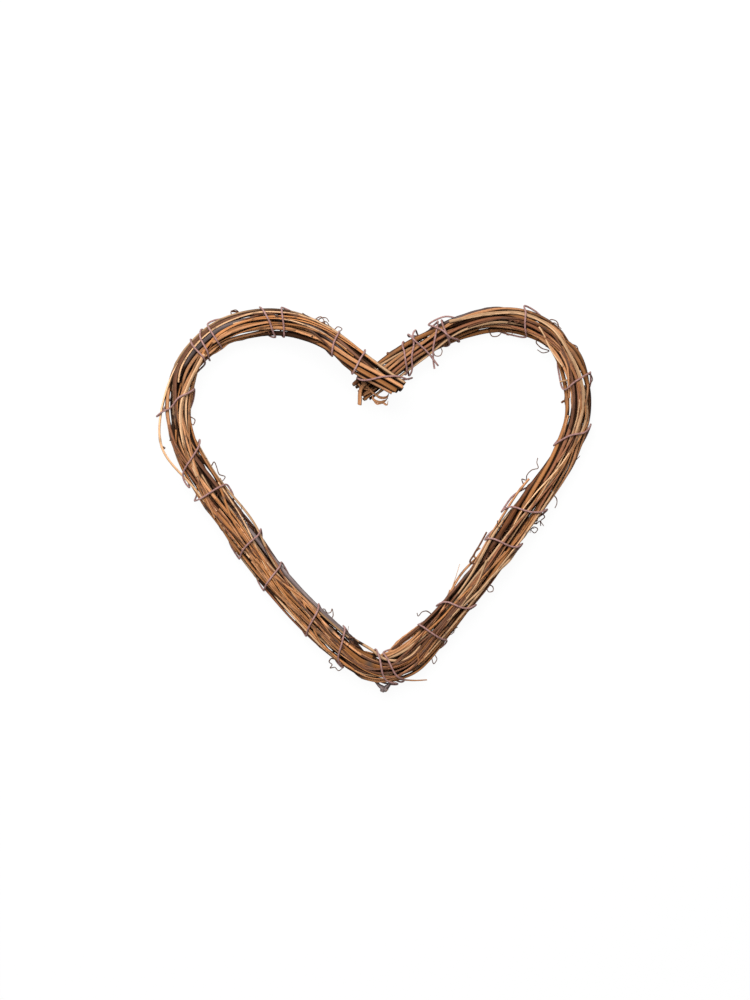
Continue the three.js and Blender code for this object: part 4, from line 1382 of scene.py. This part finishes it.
class WREATH_OT_loose_bark(bpy.types.Operator):
    """Build the loose strips of bark, the peelings in the cleft and the shreds in the gaps"""

    bl_idname = "wreath.loose_bark"
    bl_label = "Loose bark"

    def execute(self, context):
        look = context.scene.wreath_growth
        vine_look = context.scene.wreath_vines
        random = np.random.default_rng((SEED, BARK_DRAWS))
        stems = lay_stems(vine_look)
        bundle = gather(stems)
        strips = loose_strips(stems, bundle, look, vine_look.step, random)
        for half_width, thickness, heights, marks in PEELINGS:
            places = rooted(bundle, marks_to_places(marks, heights))
            strips.append(ribbon(places, half_width * MM, thickness * MM, PEELING_STEP, random))
        add_piece("loose_bark", joined(strips), vine_finish("tan_vine", vine_look))
        shreds = bark_shreds(stems, bundle, look, random)
        add_piece("bark_crumbs", joined(shreds), vine_finish("dark_vine", vine_look))
        return {"FINISHED"}


class WREATH_OT_stage(bpy.types.Operator):
    """Set up the floor, the soft light and the camera straight above"""

    bl_idname = "wreath.stage"
    bl_label = "Stage"

    def execute(self, context):
        scene = context.scene
        look = scene.wreath_stage
        self.add_floor(scene, look)
        self.add_light(scene, look)
        camera = bpy.data.objects.new("camera", bpy.data.cameras.new("camera"))
        camera.data.lens = look.lens
        camera.data.sensor_width = look.sensor
        camera.location = (*MIDDLE_PLACE, look.middle + look.view_height * look.lens / look.sensor)
        scene.collection.objects.link(camera)
        scene.camera = camera
        scene.view_settings.view_transform = "Standard"
        return {"FINISHED"}

    def add_floor(self, scene, look):
        """Level sheet of pale paper under the wreath. The view sees its white over most of its shadows."""
        half = look.floor_half
        corners = [(-half, -half, 0), (half, -half, 0), (half, half, 0), (-half, half, 0)]
        mesh = bpy.data.meshes.new("floor")
        mesh.from_pydata(corners, [], [(0, 1, 2, 3)])
        material, tree, shader = new_finish("pale_paper", 0.0)
        shader.inputs["Base Color"].default_value = opaque(look.floor)
        shader.inputs["Roughness"].default_value = FLOOR_DULLNESS
        ray = shader_node(tree, "ShaderNodeLightPath").outputs["Is Camera Ray"]
        seen = math_node(tree, "MULTIPLY", ray, look.glow)
        white = shader_node(tree, "ShaderNodeEmission")
        sockets = {0: seen, 1: shader.outputs[0], 2: white.outputs[0]}
        both = shader_node(tree, "ShaderNodeMixShader", sockets)
        tree.links.new(both.outputs[0], tree.nodes["Material Output"].inputs["Surface"])
        mesh.materials.append(material)
        floor = bpy.data.objects.new("floor", mesh)
        scene.collection.objects.link(floor)

    def add_light(self, scene, look):
        """Large soft light beyond the lobes, and even light from all round that the view sees as white."""
        lamp = bpy.data.lights.new("key", "AREA")
        lamp.energy = look.key
        lamp.size = look.key_size
        key = bpy.data.objects.new("key", lamp)
        x, y, z = look.key_place
        key.location = (x, y, z)
        key.rotation_euler = (-math.atan2(y, z), math.atan2(x, z), 0)
        scene.collection.objects.link(key)
        world = bpy.data.worlds.new("studio")
        world.use_nodes = True
        tree = world.node_tree
        ray = shader_node(tree, "ShaderNodeLightPath").outputs["Is Camera Ray"]
        seen = math_node(tree, "MULTIPLY", ray, 1 - look.ambient)
        background = tree.nodes["Background"]
        background.inputs["Color"].default_value = (1, 1, 1, 1)
        tree.links.new(math_node(tree, "ADD", seen, look.ambient), background.inputs["Strength"])
        scene.world = world


OPERATORS = [
    WREATH_OT_vines,
    WREATH_OT_binding_wire,
    WREATH_OT_forked_stub,
    WREATH_OT_tendrils,
    WREATH_OT_side_shoots,
    WREATH_OT_loose_bark,
    WREATH_OT_stage,
]

SETTINGS = {
    "wreath_vines": WREATH_PG_vines,
    "wreath_wire": WREATH_PG_wire,
    "wreath_growth": WREATH_PG_growth,
    "wreath_stage": WREATH_PG_stage,
}


class WREATH_PT_panel(bpy.types.Panel):
    """Buttons that build the wreath, and its settings"""

    bl_idname = "WREATH_PT_panel"
    bl_label = "Heart Wreath"
    bl_space_type = "VIEW_3D"
    bl_region_type = "UI"
    bl_category = "Wreath"

    def draw(self, context):
        for operator in OPERATORS:
            self.layout.operator(operator.bl_idname)
        for group in SETTINGS:
            box = self.layout.box()
            settings = getattr(context.scene, group)
            for name in settings.__annotations__:
                box.prop(settings, name)


CLASSES = [*SETTINGS.values(), *OPERATORS, WREATH_PT_panel]


def register():
    """Make the operators, the panel and the settings known."""
    for cls in CLASSES:
        bpy.utils.register_class(cls)
    for name, group in SETTINGS.items():
        setattr(bpy.types.Scene, name, PointerProperty(type=group))


def unregister():
    """Take the settings, the panel and the operators away again."""
    for name in SETTINGS:
        delattr(bpy.types.Scene, name)
    for cls in reversed(CLASSES):
        bpy.utils.unregister_class(cls)


def main():
    """Build every group of pieces and the stage in order."""
    register()
    bpy.ops.wreath.vines()
    bpy.ops.wreath.binding_wire()
    bpy.ops.wreath.forked_stub()
    bpy.ops.wreath.tendrils()
    bpy.ops.wreath.side_shoots()
    bpy.ops.wreath.loose_bark()
    bpy.ops.wreath.stage()


if __name__ == "__main__":
    main()
